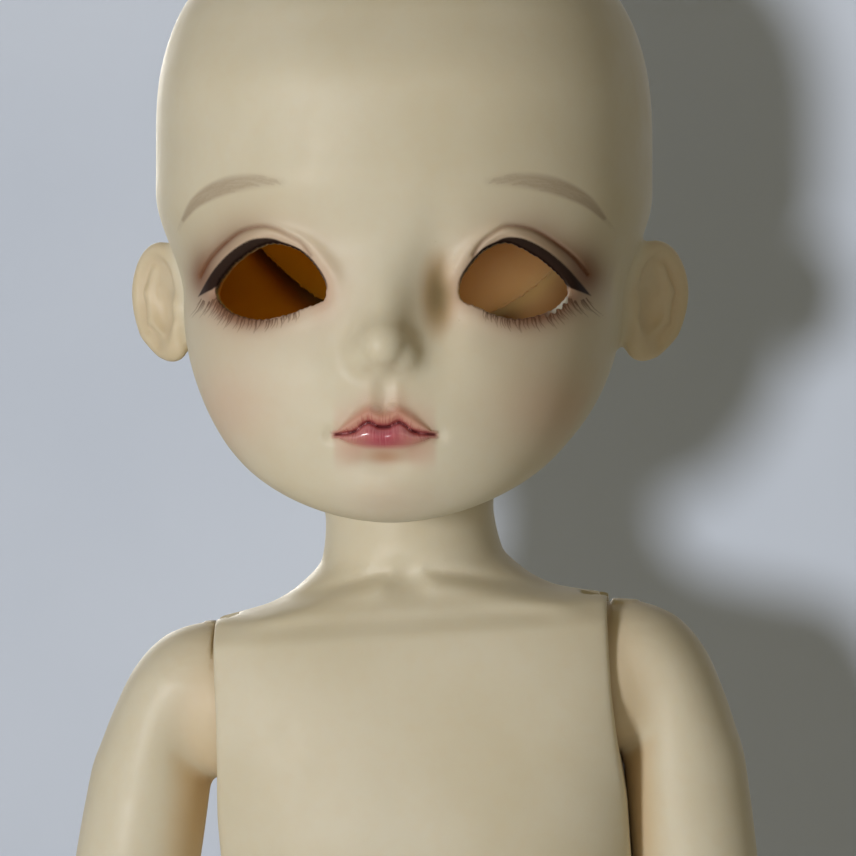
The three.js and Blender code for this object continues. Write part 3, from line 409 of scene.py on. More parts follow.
def mixed(tree, share, a, b):
    node = add(tree, "ShaderNodeMix", data_type="RGBA")
    for socket, value in ((0, share), (6, a), (7, b)):
        if isinstance(value, bpy.types.NodeSocket):
            tree.links.new(value, node.inputs[socket])
        else:
            node.inputs[socket].default_value = value if socket == 0 else (*value, 1)
    return node.outputs[2]


def resin_material():
    """Cream resin with paint on it: the paint's colour, cover and gloss come from the mesh."""
    material, tree, shader = nodes_of("cast_resin")
    where = add(tree, "ShaderNodeTexCoord").outputs["Object"]
    cloud = remap(tree, noise(tree, where, 60, 2), 0.35, 0.65, 0, 1)
    body = mixed(tree, cloud, RESIN, RESIN_PALE)
    fleck = remap(tree, noise(tree, where, 700, 4), 0.4, 0.75, 0, 0.06)
    body = mixed(tree, fleck, body, RESIN_FLECK_AND_GLOW)
    # Painted warm glow from the mesh, standing in for light that comes through the thin resin near balls,
    # sockets, the parting and the ears
    painted_warmth = add(tree, "ShaderNodeAttribute", attribute_name="painted_glow").outputs["Fac"]
    body = mixed(tree, painted_warmth, body, RESIN_FLECK_AND_GLOW)
    paint = add(tree, "ShaderNodeAttribute", attribute_name="paint")
    feed(shader, "Base Color", mixed(tree, paint.outputs["Alpha"], body, paint.outputs["Color"]))
    gloss = add(tree, "ShaderNodeAttribute", attribute_name="gloss").outputs["Fac"]
    satin = remap(tree, noise(tree, where, 240, 5), 0.3, 0.7, 0.42, 0.56)
    feed(shader, "Roughness", add(tree, "ShaderNodeMix", {0: gloss, 2: satin, 3: 0.12}).outputs[0])
    grain = noise(tree, where, 2600, 2)
    bump = add(tree, "ShaderNodeBump", {"Strength": 0.06, "Distance": 0.0001, "Height": grain})
    feed(shader, "Normal", bump.outputs["Normal"])
    # Light comes through the wall into a hollow
    inside = add(tree, "ShaderNodeAttribute", attribute_name="inside").outputs["Fac"]
    feed(shader, "Subsurface Weight", remap(tree, inside, 0, 1, 0.3, 1))
    feed(shader, "Subsurface Scale", remap(tree, inside, 0, 1, 0.003, 0.0085))
    shader.inputs["Subsurface Radius"].default_value = (1.0, 0.85, 0.55)
    dull = remap(tree, paint.outputs["Alpha"], 0, 1, 0.4, 0.06)
    shine = add(tree, "ShaderNodeMath", {0: dull, 1: gloss}, operation="MAXIMUM").outputs[0]
    feed(shader, "Specular IOR Level", shine)
    return material


def elastic_material():
    material, tree, shader = nodes_of("braided_elastic")
    where = add(tree, "ShaderNodeTexCoord").outputs["Object"]
    strand = noise(tree, where, 3000, 2)
    share = remap(tree, strand, 0.35, 0.65, 0, 1)
    feed(shader, "Base Color", mixed(tree, share, linear(196, 190, 176), linear(236, 232, 221)))
    feed(shader, "Roughness", remap(tree, strand, 0.3, 0.7, 0.7, 0.95))
    return material


def metal_material(name, colour, worn, roughness, stretch):
    material, tree, shader = nodes_of(name)
    where = add(tree, "ShaderNodeTexCoord").outputs["Object"]
    streaked = add(tree, "ShaderNodeMapping", {"Vector": where, "Scale": stretch}).outputs["Vector"]
    streak = noise(tree, streaked, 1500, 4)
    feed(shader, "Base Color", mixed(tree, remap(tree, streak, 0.35, 0.7, 0, 1), colour, worn))
    feed(shader, "Roughness", remap(tree, streak, 0.3, 0.7, roughness - 0.08, roughness + 0.14))
    shader.inputs["Metallic"].default_value = 1
    return material


resin = resin_material()
elastic = elastic_material()
steel = metal_material("bent_steel", linear(186, 188, 190), linear(140, 140, 139), 0.3, (1, 1, 0.2))
nickel = metal_material("nickel_plate", linear(200, 199, 195), linear(158, 157, 154), 0.22, (1, 1, 1))


def tones(mesh, painted_glow, paint=None, gloss=None, inside=None):
    """Puts a mesh's painted warm glow, paint, gloss and depth within a hollow on its points."""
    count = len(mesh.vertices)
    for name, values in (("painted_glow", painted_glow), ("gloss", gloss), ("inside", inside)):
        layer = mesh.attributes.new(name, "FLOAT", "POINT")
        values = np.zeros(count) if values is None else values
        layer.data.foreach_set("value", values.astype(np.float32))
    layer = mesh.attributes.new("paint", "FLOAT_COLOR", "POINT")
    paint = np.zeros((count, 4)) if paint is None else paint
    layer.data.foreach_set("color", paint.astype(np.float32).ravel())


def casting(name, field, box, place, painted_warmth, step=STEP, rounds=1, glow=None):
    """A resin casting for the node and body of its name, with a painted warm glow near the listed balls,
    standing in for light through the resin there.
    """
    mesh, points, facing = cast(name, field, *box, step=step, rounds=rounds)
    painted_glow = np.zeros(len(points)) if glow is None else glow(points, facing)
    # Painted glow: warmer near each ball, standing in for light through the thin resin
    for centre, radius, reach in painted_warmth:
        painted_glow = np.maximum(painted_glow, 0.3 * np.exp(-np.abs(sphere(points, centre, radius)) / reach))
    tones(mesh, painted_glow)
    shown(f"{name}_casting", mesh, place, name, [name], resin)


# Head

def widest_at(height):
    return (JAW_WIDTH + (HEAD_WIDTH - JAW_WIDTH) * ramp(JAW_LEVEL, TEMPLE_LEVEL, height)) / 2


def head_ends(height):
    """How far into the jaw's curve and the crown's curve a height is, as shares."""
    return (JAW_LEVEL - height) / JAW_LEVEL, (height - CROWN_LEVEL) / (HEAD_HEIGHT - CROWN_LEVEL)


def head_half_width(height):
    def curve(share, power):
        return (1 - np.clip(share, 0, 1) ** power) ** (1 / power)

    low, high = head_ends(height)
    return widest_at(height) * curve(low, JAW_POWER) * curve(high, CROWN_POWER)


FACE_LINE = [
    (0, 0.66), (0.025, 0.82), (0.065, 0.89), (0.14, 0.93), (0.27, 0.95), (0.42, 0.945),
    (0.56, 1), (0.68, 1), (0.8, 0.9), (0.89, 0.73), (0.96, 0.47), (1, 0),
]
SKULL_LINE = [
    (0, -0.591), (0.025, -0.38), (0.065, -0.12), (0.11, 0.2), (0.16, 0.45), (0.24, 0.66), (0.35, 0.84),
    (0.5, 0.97), (0.62, 1), (0.75, 0.94), (0.87, 0.74), (0.95, 0.46), (1, 0),
]


def turn_of(share):
    return np.arccos(1 - 2 * np.clip(share, 0, 1)) / np.pi


TURNS = np.linspace(0, 1, 400)
FACE_DEPTHS, SKULL_DEPTHS = (
    size * smooth_through(turn_of(np.array(line)[:, 0]), np.array(line)[:, 1], TURNS)
    for line, size in ((FACE_LINE, FACE_DEPTH), (SKULL_LINE, SKULL_DEPTH))
)


def egg_shape(P):
    """Below zero inside the head's egg, and its slopes. P is measured from under the chin."""
    x, y, h = P.T
    share = np.clip(h / HEAD_HEIGHT, 0.003, 0.997)
    turn = turn_of(share)
    front, back = np.interp(turn, TURNS, FACE_DEPTHS), np.interp(turn, TURNS, SKULL_DEPTHS)
    widest = widest_at(h)
    kept = head_half_width(share * HEAD_HEIGHT) / widest
    depth = np.maximum((front + back) / 2, 0.2) / kept
    low, high = head_ends(h)
    end = 1 - np.maximum(low, 0) ** JAW_POWER - np.maximum(high, 0) ** CROWN_POWER
    size = np.sign(end) * np.abs(end) ** (HEAD_POWER / np.where(low > 0, JAW_POWER, CROWN_POWER))
    across, along = np.abs(x) / widest, np.abs(y - (back - front) / 2) / depth
    steep_x, steep_y = across ** (HEAD_POWER - 1), along ** (HEAD_POWER - 1)
    value = across * steep_x + along * steep_y - size
    return value, HEAD_POWER * steep_x / widest, HEAD_POWER * steep_y / depth


def egg(P):
    value, slope_x, slope_y = egg_shape(P)
    slope_h = (egg_shape(P + (0, 0, 0.02))[0] - value) / 0.02
    slope = np.sqrt(slope_x**2 + slope_y**2 + slope_h**2)
    return np.clip(value / np.maximum(slope, 0.012), -12, 12)


EGG_MIDDLE = np.array([0, (SKULL_DEPTH - FACE_DEPTH) / 2, HEAD_HEIGHT / 2])
EGG_DRAWN = 1 - 2 * HEAD_WALL / np.array([HEAD_WIDTH, FACE_DEPTH + SKULL_DEPTH, HEAD_HEIGHT])

# The face's lines, as distance from the middle and height above the chin
EYE_LINE = [
    (17.75, 22.9), (17.45, 24), (16.6, 24.95), (15.5, 25.95), (14, 26.9), (12.6, 27.55), (11.5, 27.75),
    (10.1, 27.4), (8.75, 26.6), (7.6, 25.35), (6.8, 24.1), (6.55, 23), (6.9, 21.95), (8.75, 21.25),
    (10.25, 20.65), (12.55, 20.2), (14.35, 20.45), (15.9, 21), (17, 21.8),
]
LINER_TOP = [
    (20, 22.8), (18.95, 24.1), (17.6, 25.6), (15.9, 27), (14, 28), (12.6, 28.25), (11.5, 28.15),
    (10.55, 27.75), (9.05, 27), (7.85, 25.7), (7.05, 24.5),
]
LINER_LOW = [
    (7.5, 24.5), (8.75, 26.2), (10.1, 27), (11.5, 27.35), (12.6, 27.2), (14, 26.5), (15.5, 25.5),
    (16.9, 24.3), (17.5, 23.8), (18.2, 23.4),
]
CREASE_LINE = [
    (19.6, 24.9), (18.35, 26.5), (16.6, 27.9), (14.7, 29), (12.85, 29.4), (11.5, 29.25), (10.1, 28.45),
    (9, 27.65), (8.15, 26.5),
]
BROW_LINE = [
    (21.35, 30.6), (20, 31.9), (18.4, 32.8), (16.5, 33.45), (14.7, 33.75), (12.8, 33.85), (11.35, 33.75),
    (10.2, 33.65),
]
MOUTH_LINE = [(0, 9.45), (0.5, 9.5), (1, 9.74), (1.5, 9.9), (2, 9.7), (2.8, 9.08), (3.6, 8.85), (4.95, 8.7)]
LIP_TOP = [(0, 10.95), (0.7, 11.15), (1.4, 11.45), (2.6, 10.95), (3.8, 9.9), (4.95, 8.85)]
LIP_BOTTOM = [(0, 7.45), (1.5, 7.45), (3, 7.7), (4.2, 8.15), (4.95, 8.6)]
# The inner corners of both eyes are carved a little to the doll's left
EYE_SHIFT = 0.7


def rounded(points, closed=False, steps=8):
    """More points on a smooth curve through a few."""
    p = np.asarray(points, float)
    if closed:
        p = np.concatenate([p[-1:], p, p[:2]])
    else:
        p = np.concatenate([2 * p[:1] - p[1:2], p, 2 * p[-1:] - p[-2:-1]])
    t = np.arange(steps)[:, None] / steps
    pieces = []
    for a, b, c, d in zip(p, p[1:], p[2:], p[3:]):
        pieces.append(b + t / 2 * (c - a + t * (2 * a - 5 * b + 4 * c - d + t * (3 * (b - c) + d - a))))
    if not closed:
        pieces.append(p[-2:-1])
    return np.concatenate(pieces)


def line_distance(Q, line):
    """How far points of the plane are from a line, and how far along it, as a share."""
    best, share = np.full(len(Q), 1e9), np.zeros(len(Q))
    lengths = np.linalg.norm(np.diff(line, axis=0), axis=1)
    start = np.concatenate([[0], np.cumsum(lengths)])
    for i, (a, b) in enumerate(zip(line, line[1:])):
        t = np.clip((Q - a) @ (b - a) / max(lengths[i] ** 2, 1e-9), 0, 1)
        far = np.linalg.norm(Q - a - t[:, None] * (b - a), axis=1)
        better = far < best
        best = np.where(better, far, best)
        share = np.where(better, (start[i] + t * lengths[i]) / start[-1], share)
    return best, share


class Sheet:
    """Values over the face, kept on a fine grid and read between its points."""

    low, high, pitch = np.array([-2.0, 14.0]), np.array([26.0, 38.0]), 0.08

    def __init__(self, make):
        self.count = np.ceil((self.high - self.low) / self.pitch).astype(int) + 1
        axes = [self.low[i] + self.pitch * np.arange(self.count[i]) for i in (0, 1)]
        self.values = make(np.stack(np.meshgrid(*axes, indexing="ij"), -1).reshape(-1, 2)).reshape(self.count)

    def __call__(self, across, height):
        u = np.clip((across - self.low[0]) / self.pitch, 0, self.count[0] - 1.001)
        v = np.clip((height - self.low[1]) / self.pitch, 0, self.count[1] - 1.001)
        i, j = u.astype(int), v.astype(int)
        u, v = u - i, v - j
        low = self.values[i, j] * (1 - u) + self.values[i + 1, j] * u
        return low * (1 - v) + (self.values[i, j + 1] * (1 - u) + self.values[i + 1, j + 1] * u) * v


def within(Q, line):
    """How far points of the plane are from a closed line, below zero inside it."""
    closed = np.concatenate([line, line[:1]])
    far, _ = line_distance(Q, closed)
    a, b = closed[:-1], closed[1:]
    x, h = Q[:, :1], Q[:, 1:]
    spans = (a[:, 1] > h) != (b[:, 1] > h)
    rise = np.where(b[:, 1] == a[:, 1], 1e-9, b[:, 1] - a[:, 1])
    crossed = spans & (x < a[:, 0] + (h - a[:, 1]) / rise * (b[:, 0] - a[:, 0]))
    return np.where(crossed.sum(1) % 2 == 1, -far, far)


eye_edge = Sheet(lambda Q: within(Q, rounded(EYE_LINE, closed=True)))
liner_edge = Sheet(lambda Q: within(Q, np.concatenate([rounded(LINER_TOP), rounded(LINER_LOW)])))
crease_edge = Sheet(lambda Q: line_distance(Q, rounded(CREASE_LINE))[0])


def eye_across(x):
    return np.abs(x - EYE_SHIFT * ramp(14, 7, np.abs(x)))


def lips(across, h):
    """The mouth's line, and how far up the upper lip and down the lower lip each point is, as shares."""
    rows = (MOUTH_LINE, LIP_TOP, LIP_BOTTOM)
    line, top, bottom = (smooth_through(*np.array(row).T, across) for row in rows)
    return line, (h - line) / np.maximum(top - line, 0.4), (line - h) / np.maximum(line - bottom, 0.4)


def face_relief(P):
    """How far the face stands out of the egg."""
    x, y, h = P.T
    across = np.abs(x)
    relief = 0.8 * mound(across, h, 12.5, 12.5, 8, 7) + 0.7 * mound(x, h, 0, 9.2, 6.5, 4.6)
    relief += 0.6 * mound(x, h, 0, 3, 4.5, 2.4) - 0.5 * mound(x, h, 0, 5.9, 3.2, 1.1)
    relief -= 0.75 * mound(across, h, 11.5, 24.2, 7, 5)
    relief -= 0.25 * mound(x, h, -5, 20, 2.6, 4.6) + 1.9 * mound(x, h, 5.1, 22, 2.4, 6)
    relief += 0.75 * bell(x, 2.4) * ramp(29, 21, h) * ramp(15.5, 19, h)
    relief += 0.3 * mound(x, h, -3.6, 22, 2.6, 4.5)
    eye = eye_across(x)
    edge, crease = eye_edge(eye, h), crease_edge(eye, h)
    upper = ramp(22.5, 25.5, h)
    relief += (0.15 + 0.4 * upper) * bell(edge - 0.9, 0.9)
    relief -= 0.32 * bell(crease, 0.26)
    line, up, down = lips(across, h)
    side = np.maximum(0, 1 - (across / 5.3) ** 2)
    relief += 0.62 * np.sqrt(side) * bell(up - 0.55, 0.42)
    lobes = 1 - 0.12 * bell(x, 0.6)
    relief += 0.95 * lobes * side**0.7 * bell(down - 0.5, 0.45)
    relief -= 0.5 * np.sqrt(side) * bell(h - line, 0.19)
    relief -= 0.3 * mound(across, h, 5.3, 8.6, 0.8, 0.8)
    relief += 0.12 * mound(across, h, 0.8, 11.4, 0.4, 0.3)
    groove = ramp(10.6, 11.6, h) * (1 - ramp(13.6, 15.2, h))
    relief += groove * (0.12 * bell(across - 1.3, 0.7) - 0.18 * bell(x, 0.9))
    return relief * (1 - ramp(-15, -7, y))


def nose(P):
    body = capsule(P, (0, -24.6, 22.6), (0, -26.7, 18.4), 1.0, 1.6)
    body = union(body, sphere(P, (0, -27.3, 17.3), 1.95), 2)
    body = union(body, sphere(folded(P), (1.75, -26.3, 16.6), 1.25), 0.9)
    return union(body, sphere(P, (0, -26.7, 15.9), 0.85), 0.6)


def ear(P):
    flare = np.radians(EAR_FLARE)
    outward = np.array([np.sin(flare), np.cos(flare), 0])
    facing = np.array([np.cos(flare), -np.sin(flare), 0])
    root = np.array([float(head_half_width(EAR_LEVEL)) - EAR_SINK, 0.6, EAR_LEVEL])
    Q = folded(P) - root - EAR_HALF_DEPTH * outward
    lean = 0.12
    a, b, c = Q @ outward, Q[:, 2], Q @ facing
    a, b = a - lean * b, b + lean * a
    E = np.stack([a, b, c], 1)
    # Fuller above than below, as an ear is
    wide = EAR_HALF_DEPTH * (0.86 + 0.14 * ramp(-5, 3, b))
    near = np.hypot(a / wide, b / EAR_HALF_HEIGHT)
    steep = np.hypot(a / wide**2, b / EAR_HALF_HEIGHT**2)
    outline = near * (near - 1) / np.maximum(steep, 1e-6)
    plate = common(outline, np.abs(c + 0.25) - 0.75, 0.9)
    rim_share = ramp(-5.5, -3, b) * ramp(-4.4, -2.2, a + 0.35 * np.maximum(b, 0))
    rim = np.hypot(outline + 0.75, c - 0.35) - 0.3 - 0.55 * rim_share
    body = union(plate, rim, 0.5)
    fold = [(0.6, 3.4, 0.3), (1.7, 1.2, 0.45), (1.5, -1.8, 0.4), (-0.2, -3.4, 0.3)]
    body = union(body, chain(E, fold, [0.5, 0.65, 0.6, 0.5], 0.4), 0.6)
    body = union(body, ellipsoid(E, (-1.2, -5.0, -0.1), (1.7, 1.5, 0.95)), 0.8)
    body = cut(body, ellipsoid(E, (-1.0, -0.9, 1.1), (1.75, 2.5, 1.55)), 0.5)
    body = union(body, ellipsoid(E, (-3.3, -1.0, 0.4), (0.8, 1.3, 0.9)), 0.5)
    return union(body, ellipsoid(E, (-2.6, -0.4, -2.2), (3.0, 4.4, 2.2)), 1.6)


def head_form(P):
    body = egg(P)
    face = P[:, 1] < -6
    body[face] -= face_relief(P[face])
    near = (P[:, 1] < -20) & (np.abs(P[:, 0]) < 9)
    body[near] = union(body[near], nose(P[near]), 2.2)
    side = (np.abs(P[:, 0]) > 17) & (np.abs(P[:, 2] - EAR_LEVEL) < 11)
    body[side] = union(body[side], ear(P[side]), 1.1)
    return body


NECK_AT = np.array([0, SPINE_SETBACK, CHIN_BELOW_NECK])
BOSS_RADIUS = NECK_BALL + JOINT_GAP + HEAD_WALL
CROWN = np.array([0, CAP_TOP_SETBACK, HEAD_HEIGHT])
NAPE = np.array([0, 0.8 * SKULL_DEPTH, CAP_LOW_LEVEL])
UPWARD = (CROWN - NAPE) / np.linalg.norm(CROWN - NAPE)
OUTWARD = np.array([0, UPWARD[2], -UPWARD[1]])
BOSS_SIZE = MAGNET_RADIUS + MAGNET_RIM
POCKET_DEPTH = MAGNET_THICKNESS + SEAT_GAP
SIDE_SEAT = NAPE + 0.42 * (CROWN - NAPE)
SEATS = {
    "top": CROWN - UPWARD * (HEAD_WALL / 2 + BOSS_SIZE),
    "left": SIDE_SEAT + (MAGNET_SPREAD, 0, 0),
    "right": SIDE_SEAT - (MAGNET_SPREAD, 0, 0),
}


def parted(P):
    """How far points are behind the cap's parting."""
    return (P - NAPE) @ OUTWARD


def discs(P, start, end, radius):
    low, high = start * OUTWARD, end * OUTWARD
    return np.minimum.reduce([drum(P, seat + low, seat + high, radius) for seat in SEATS.values()])


def head_walls(P, form, boss_from, boss_to):
    Q = (P - EGG_MIDDLE) / EGG_DRAWN + EGG_MIDDLE
    room = cut(egg(Q) * EGG_DRAWN.min(), sphere(P, NECK_AT, BOSS_RADIUS), 1.5)
    walls = cut(form, room, 0.3)
    bosses = common(discs(P, boss_from, boss_to, BOSS_SIZE), form + 0.4, 0.4)
    return union(walls, bosses, 0.8)


def head_shell(P):
    form = head_form(P)
    behind = parted(P)
    body = head_walls(P, form, -POCKET_DEPTH - MAGNET_RIM, 0)
    body = common(body, behind, 0.25 - 0.2 * ramp(0.8, 1.5, -egg(P)))
    body = cut(body, sphere(P, NECK_AT, NECK_BALL + JOINT_GAP), 0.4)
    across = (NECK_LOOP + NECK_WIRE) / 2 + SEAT_GAP
    along = BOSS_RADIUS * np.sin(np.radians(HEAD_NOD)) + NECK_WIRE / 2 + SEAT_GAP
    body = cut(body, slab(P, NECK_AT + (0, 0, BOSS_RADIUS), (across, along, BOSS_RADIUS)), 0.3)
    body = cut(body, discs(P, -POCKET_DEPTH, 1, MAGNET_RADIUS + SEAT_GAP), 0.15)
    face = P[:, 1] < -5
    rough = 0.05 * np.sin(9 * P[face, 0]) * np.sin(7 * P[face, 2] + 2)
    opening = np.maximum(eye_edge(eye_across(P[face, 0]), P[face, 2]) + rough, P[face, 1] + 6)
    body[face] = cut(body[face], opening, 0.35)
    return body


def head_cap(P):
    behind = parted(P)
    body = head_walls(P, head_form(P), CAP_GAP, CAP_GAP + POCKET_DEPTH + MAGNET_RIM)
    deep = ramp(0.8, 1.5, -egg(P))
    body = common(body, CAP_GAP * (1 - 0.8 * deep) - behind, 0.25 - 0.2 * deep)
    return cut(body, discs(P, -1, CAP_GAP + POCKET_DEPTH, MAGNET_RADIUS + SEAT_GAP), 0.15)


HEAD_PLACE = placed(pivot("head_nod"), JOINTS["head_nod"]["axis"]) @ Matrix.Translation(Vector(-NECK_AT))


# Face paint

def over(paint, colour, cover):
    """Lays a colour over what is there, in rows of red, green, blue and cover."""
    cover = np.clip(cover, 0, 1)[:, None]
    left = paint[:, 3:] * (1 - cover)
    total = cover + left
    paint[:, :3] = np.where(total > 1e-6, (colour * cover + paint[:, :3] * left) / np.maximum(total, 1e-6), 0)
    paint[:, 3:] = total


def strokes(Q, lines, widths, soft=0.06):
    """How much tapering strokes cover each point of the plane."""
    most = np.zeros(len(Q))
    for line, width in zip(lines, widths):
        low, high = line.min(0) - 0.5, line.max(0) + 0.5
        near = np.flatnonzero(((Q > low) & (Q < high)).all(1))
        if len(near):
            far, share = line_distance(Q[near], line)
            half = width / 2 * np.sqrt(np.clip(1.02 - share, 0, 1))
            cover = np.clip((half + soft - far) / (2 * soft), 0, 1) * (1 - 0.5 * share)
            most[near] = np.maximum(most[near], cover)
    return most


def at_shares(line, shares):
    lengths = np.concatenate([[0], np.cumsum(np.linalg.norm(np.diff(line, axis=0), axis=1))])
    shares = np.asarray(shares) * lengths[-1]
    return np.stack([np.interp(shares, lengths, column) for column in line.T], 1)


def brow_half(share):
    return 0.84 * np.sin(np.pi * (0.06 + 0.9 * share)) ** 0.8


def brow_hairs(rng):
    line = rounded(BROW_LINE)
    lines, widths = [], []
    for share in np.linspace(0.02, 0.98, 90):
        base = at_shares(line, [share])[0]
        thick = 2 * brow_half(share)
        tangent = at_shares(line, [max(share - 0.03, 0)])[0] - base
        tangent = tangent / max(np.linalg.norm(tangent), 1e-6)
        start = base + (0, thick * rng.uniform(-0.45, 0.35)) + rng.uniform(-0.1, 0.1, 2)
        sweep = tangent * rng.uniform(1.2, 2.0) + np.array([0, 0.25 * (share - 0.35)])
        lines.append(np.stack([start, start + 0.5 * sweep + (0, 0.06), start + sweep]))
        widths.append(rng.uniform(0.12, 0.2))
    return lines, widths


def lower_lashes(rng):
    line = rounded(EYE_LINE, closed=True)
    below = line[(line[:, 1] < 22.6) & (line[:, 0] > 8.5)]
    below = np.concatenate([[(19.5, 22.5), (18.5, 22.1)], below[np.argsort(-below[:, 0])]])
    lines, widths = [], []
    for share in np.linspace(0, 0.93, 84):
        base = at_shares(below, [share])[0]
        out = np.array([0.75 - 1.0 * share + rng.uniform(-0.2, 0.2), -1.0])
        out = out / np.linalg.norm(out)
        length = (1.9 - 1.1 * share) * rng.uniform(0.4, 1.1)
        bend = np.array([0.18 * length, 0.02])
        start = base + out * 0.1 + rng.uniform(-0.2, 0.2, 2)
        lines.append(np.stack([start, start + 0.55 * length * out, start + length * out + bend]))
        widths.append(rng.uniform(0.08, 0.17))
    return lines, widths


def lip_strokes(rng, sign):
    lines, widths = [], []
    for x in np.linspace(-4.2, 4.2, 64):
        across = abs(x)
        base = np.array([x, float(lips(across, 0)[0])])
        reach = (1.1 if sign > 0 else 1.8) * max(0.15, 1 - (across / 5) ** 2) * rng.uniform(0.3, 1.1)
        tip = base + (0.16 * x / 3, sign * reach)
        lines.append(np.stack([base + (0, 0.1 * sign), (base + tip) / 2, tip]))
        widths.append(rng.uniform(0.1, 0.18))
    return lines, widths


PAINT_SEED = 7
BLUSH, EYE_BLUSH, SMOKE = linear(214, 158, 132), linear(206, 150, 126), linear(122, 78, 52)
LINER, LASH, BROW = linear(34, 18, 14), linear(92, 62, 44), linear(158, 138, 116)
LIP, LIP_DEEP = linear(186, 78, 96), linear(160, 48, 62)
LIP_LINE, LIP_PALE = linear(92, 22, 26), linear(226, 158, 160)
LIP_EDGE, LIP_SOFT, LIP_SHADE = linear(206, 150, 128), linear(204, 132, 116), linear(190, 138, 104)
# The first two colours are painted light, the glow of light through the resin on the hollow's wall; the putty
# is real
HOLLOW_GLOW, HOLLOW_GLOW_PALE, PUTTY = linear(192, 146, 88), linear(240, 186, 104), linear(226, 222, 208)


def paint_hollow_glow(paint, P, inside, rim):
    """The hollow's wall in a painted brown-orange glow of light through the resin, with a paler painted glow
    near the shell's rim and to the doll's right.
    """
    over(paint, HOLLOW_GLOW, 0.93 * inside)
    near = rim * bell(parted(P), 1.7)
    over(paint, HOLLOW_GLOW_PALE, np.maximum(near, 0.6 * ramp(2, -8, P[:, 0])) * inside)


def face_paint(P, facing):
    """The paint on the head's points, its gloss, and how much light wanders in the hollow's wall."""
    rng = np.random.default_rng(PAINT_SEED)
    paint = np.zeros((len(P), 4))
    x, y, h = P.T
    across = np.abs(x)
    front = ramp(0.02, 0.3, -facing[:, 1]) * ramp(7, 10, -y)
    Q = np.stack([across, h], 1)
    over(paint, BLUSH, 0.3 * front * mound(across, h, 16.5, 11.5, 5.5, 4.5))
    over(paint, BLUSH, 0.16 * front * mound(x, h, 0, 2.2, 4.5, 2.2))
    eye = eye_across(x)
    edge, crease = eye_edge(eye, h), crease_edge(eye, h)
    outer = ramp(9, 18, across)
    lid = np.exp(-np.maximum(edge, 0) / 1.7)
    over(paint, EYE_BLUSH, front * lid * (0.45 + 0.2 * outer))
    over(paint, EYE_BLUSH, 0.2 * front * mound(across, h, 6.2, 22.5, 1.2, 2.4))
    wing = mound(across, h, 19.6, 25, 1.7, 2.6)
    over(paint, SMOKE, front * (0.7 * wing + 0.3 * outer * np.exp(-np.maximum(edge, 0) / 1.1)))
    over(paint, SMOKE, 0.75 * front * bell(crease, 0.17) * (0.5 + 0.5 * outer))
    above = ramp(0.6, 1.4, edge)
    over(paint, SMOKE, 0.8 * front * outer * above * np.exp(-crease / 1.3))
    face = front > 0.05
    liner = liner_edge(eye, h)
    over(paint, LINER, front * 0.97 * np.clip((0.1 - liner) / 0.16, 0, 1))
    inside = ramp(0.8, 2.2, -egg(P)) * (sphere(P, NECK_AT, NECK_BALL + JOINT_GAP) > 0.3)
    lid_edge = np.clip((0.24 - np.abs(edge)) / 0.12, 0, 1) * ramp(7, 10, -y) * (1 - inside)
    over(paint, LINER, 0.85 * lid_edge * ramp(22.6, 24, h))
    cover = np.zeros(len(P))
    lashes, widths = lower_lashes(rng)
    under = bell(np.maximum(edge, 0), 1.2) * ramp(23.4, 21.8, h)
    over(paint, SMOKE, 0.85 * front * under * ramp(7, 15, across))
    cover[face] = strokes(np.stack([eye, h], 1)[face], lashes, widths, 0.04)
    over(paint, LASH, 0.8 * front * cover)
    brow_line = rounded(BROW_LINE)
    far, share = np.full(len(P), 9.0), np.zeros(len(P))
    far[face], share[face] = line_distance(Q[face], brow_line)
    soft = 0.2 + 0.35 * share**2
    over(paint, BROW, 0.6 * front * ramp(-soft, soft, brow_half(share) - far) * (1 - 0.6 * share**2))
    hairs, widths = brow_hairs(rng)
    cover[:] = 0
    cover[face] = strokes(Q[face], hairs, widths)
    over(paint, BROW, 0.3 * front * cover)
    line, up, down = lips(across, h)
    side = np.maximum(0, 1 - (across / 5.3) ** 2)
    mouth = front * ramp(5.6, 4.7, across)
    upper = ramp(1.25, 0.7, up) * (h >= line)
    lower = ramp(1.15, 0.8, down) * (h < line)
    halo = np.exp(-((np.maximum(h - line, 0) / 2.6) ** 2) - (np.maximum(line - h, 0) / 3.1) ** 4)
    over(paint, LIP_EDGE, 0.75 * mouth * halo * np.sqrt(side))
    over(paint, LIP_SHADE, 0.65 * front * mound(x, h, 0, 6.5, 2.2, 0.7))
    over(paint, LIP_SOFT, mouth * (0.5 * upper + 0.6 * lower))
    over(paint, LIP, 0.95 * mouth * lower * bell(x, 2.7))
    near_line = np.where(h > line, (h - line) / 0.32, (line - h) / 0.4)
    over(paint, LIP_DEEP, 0.65 * mouth * np.exp(-(near_line**2)))
    lip_q = np.stack([x, h], 1)
    for sign in (1, -1):
        lines, widths = lip_strokes(rng, sign)
        cover[:] = 0
        cover[face] = strokes(lip_q[face], lines, widths, 0.05)
        over(paint, LIP_DEEP, 0.6 * mouth * cover)
    cover[face] = strokes(lip_q[face], *lip_strokes(rng, -1), 0.05)
    over(paint, LIP_PALE, 0.4 * mouth * cover)
    parting = np.clip((0.17 - np.abs(h - line)) / 0.12, 0, 1)
    over(paint, LIP_LINE, front * 0.92 * parting * ramp(5.2, 4.8, across))
    gloss = mouth * np.maximum(0.8 * lower, mound(across, h, 0.8, 11.2, 0.8, 0.5))
    ragged = np.abs(edge + 0.15 * np.sin(7 * x + 4 * h)) < 0.36
    over(paint, PUTTY, front * ragged * 1.4 * mound(x, h, 16.9, 21.9, 0.9, 1.1))
    # Painted glow of light through the resin on the hollow's wall
    paint_hollow_glow(paint, P, inside, 0.3)
    # Near the rim less light wanders within the wall
    inside = inside * (1 - 0.85 * bell(parted(P), 2.4))
    return paint, gloss, inside


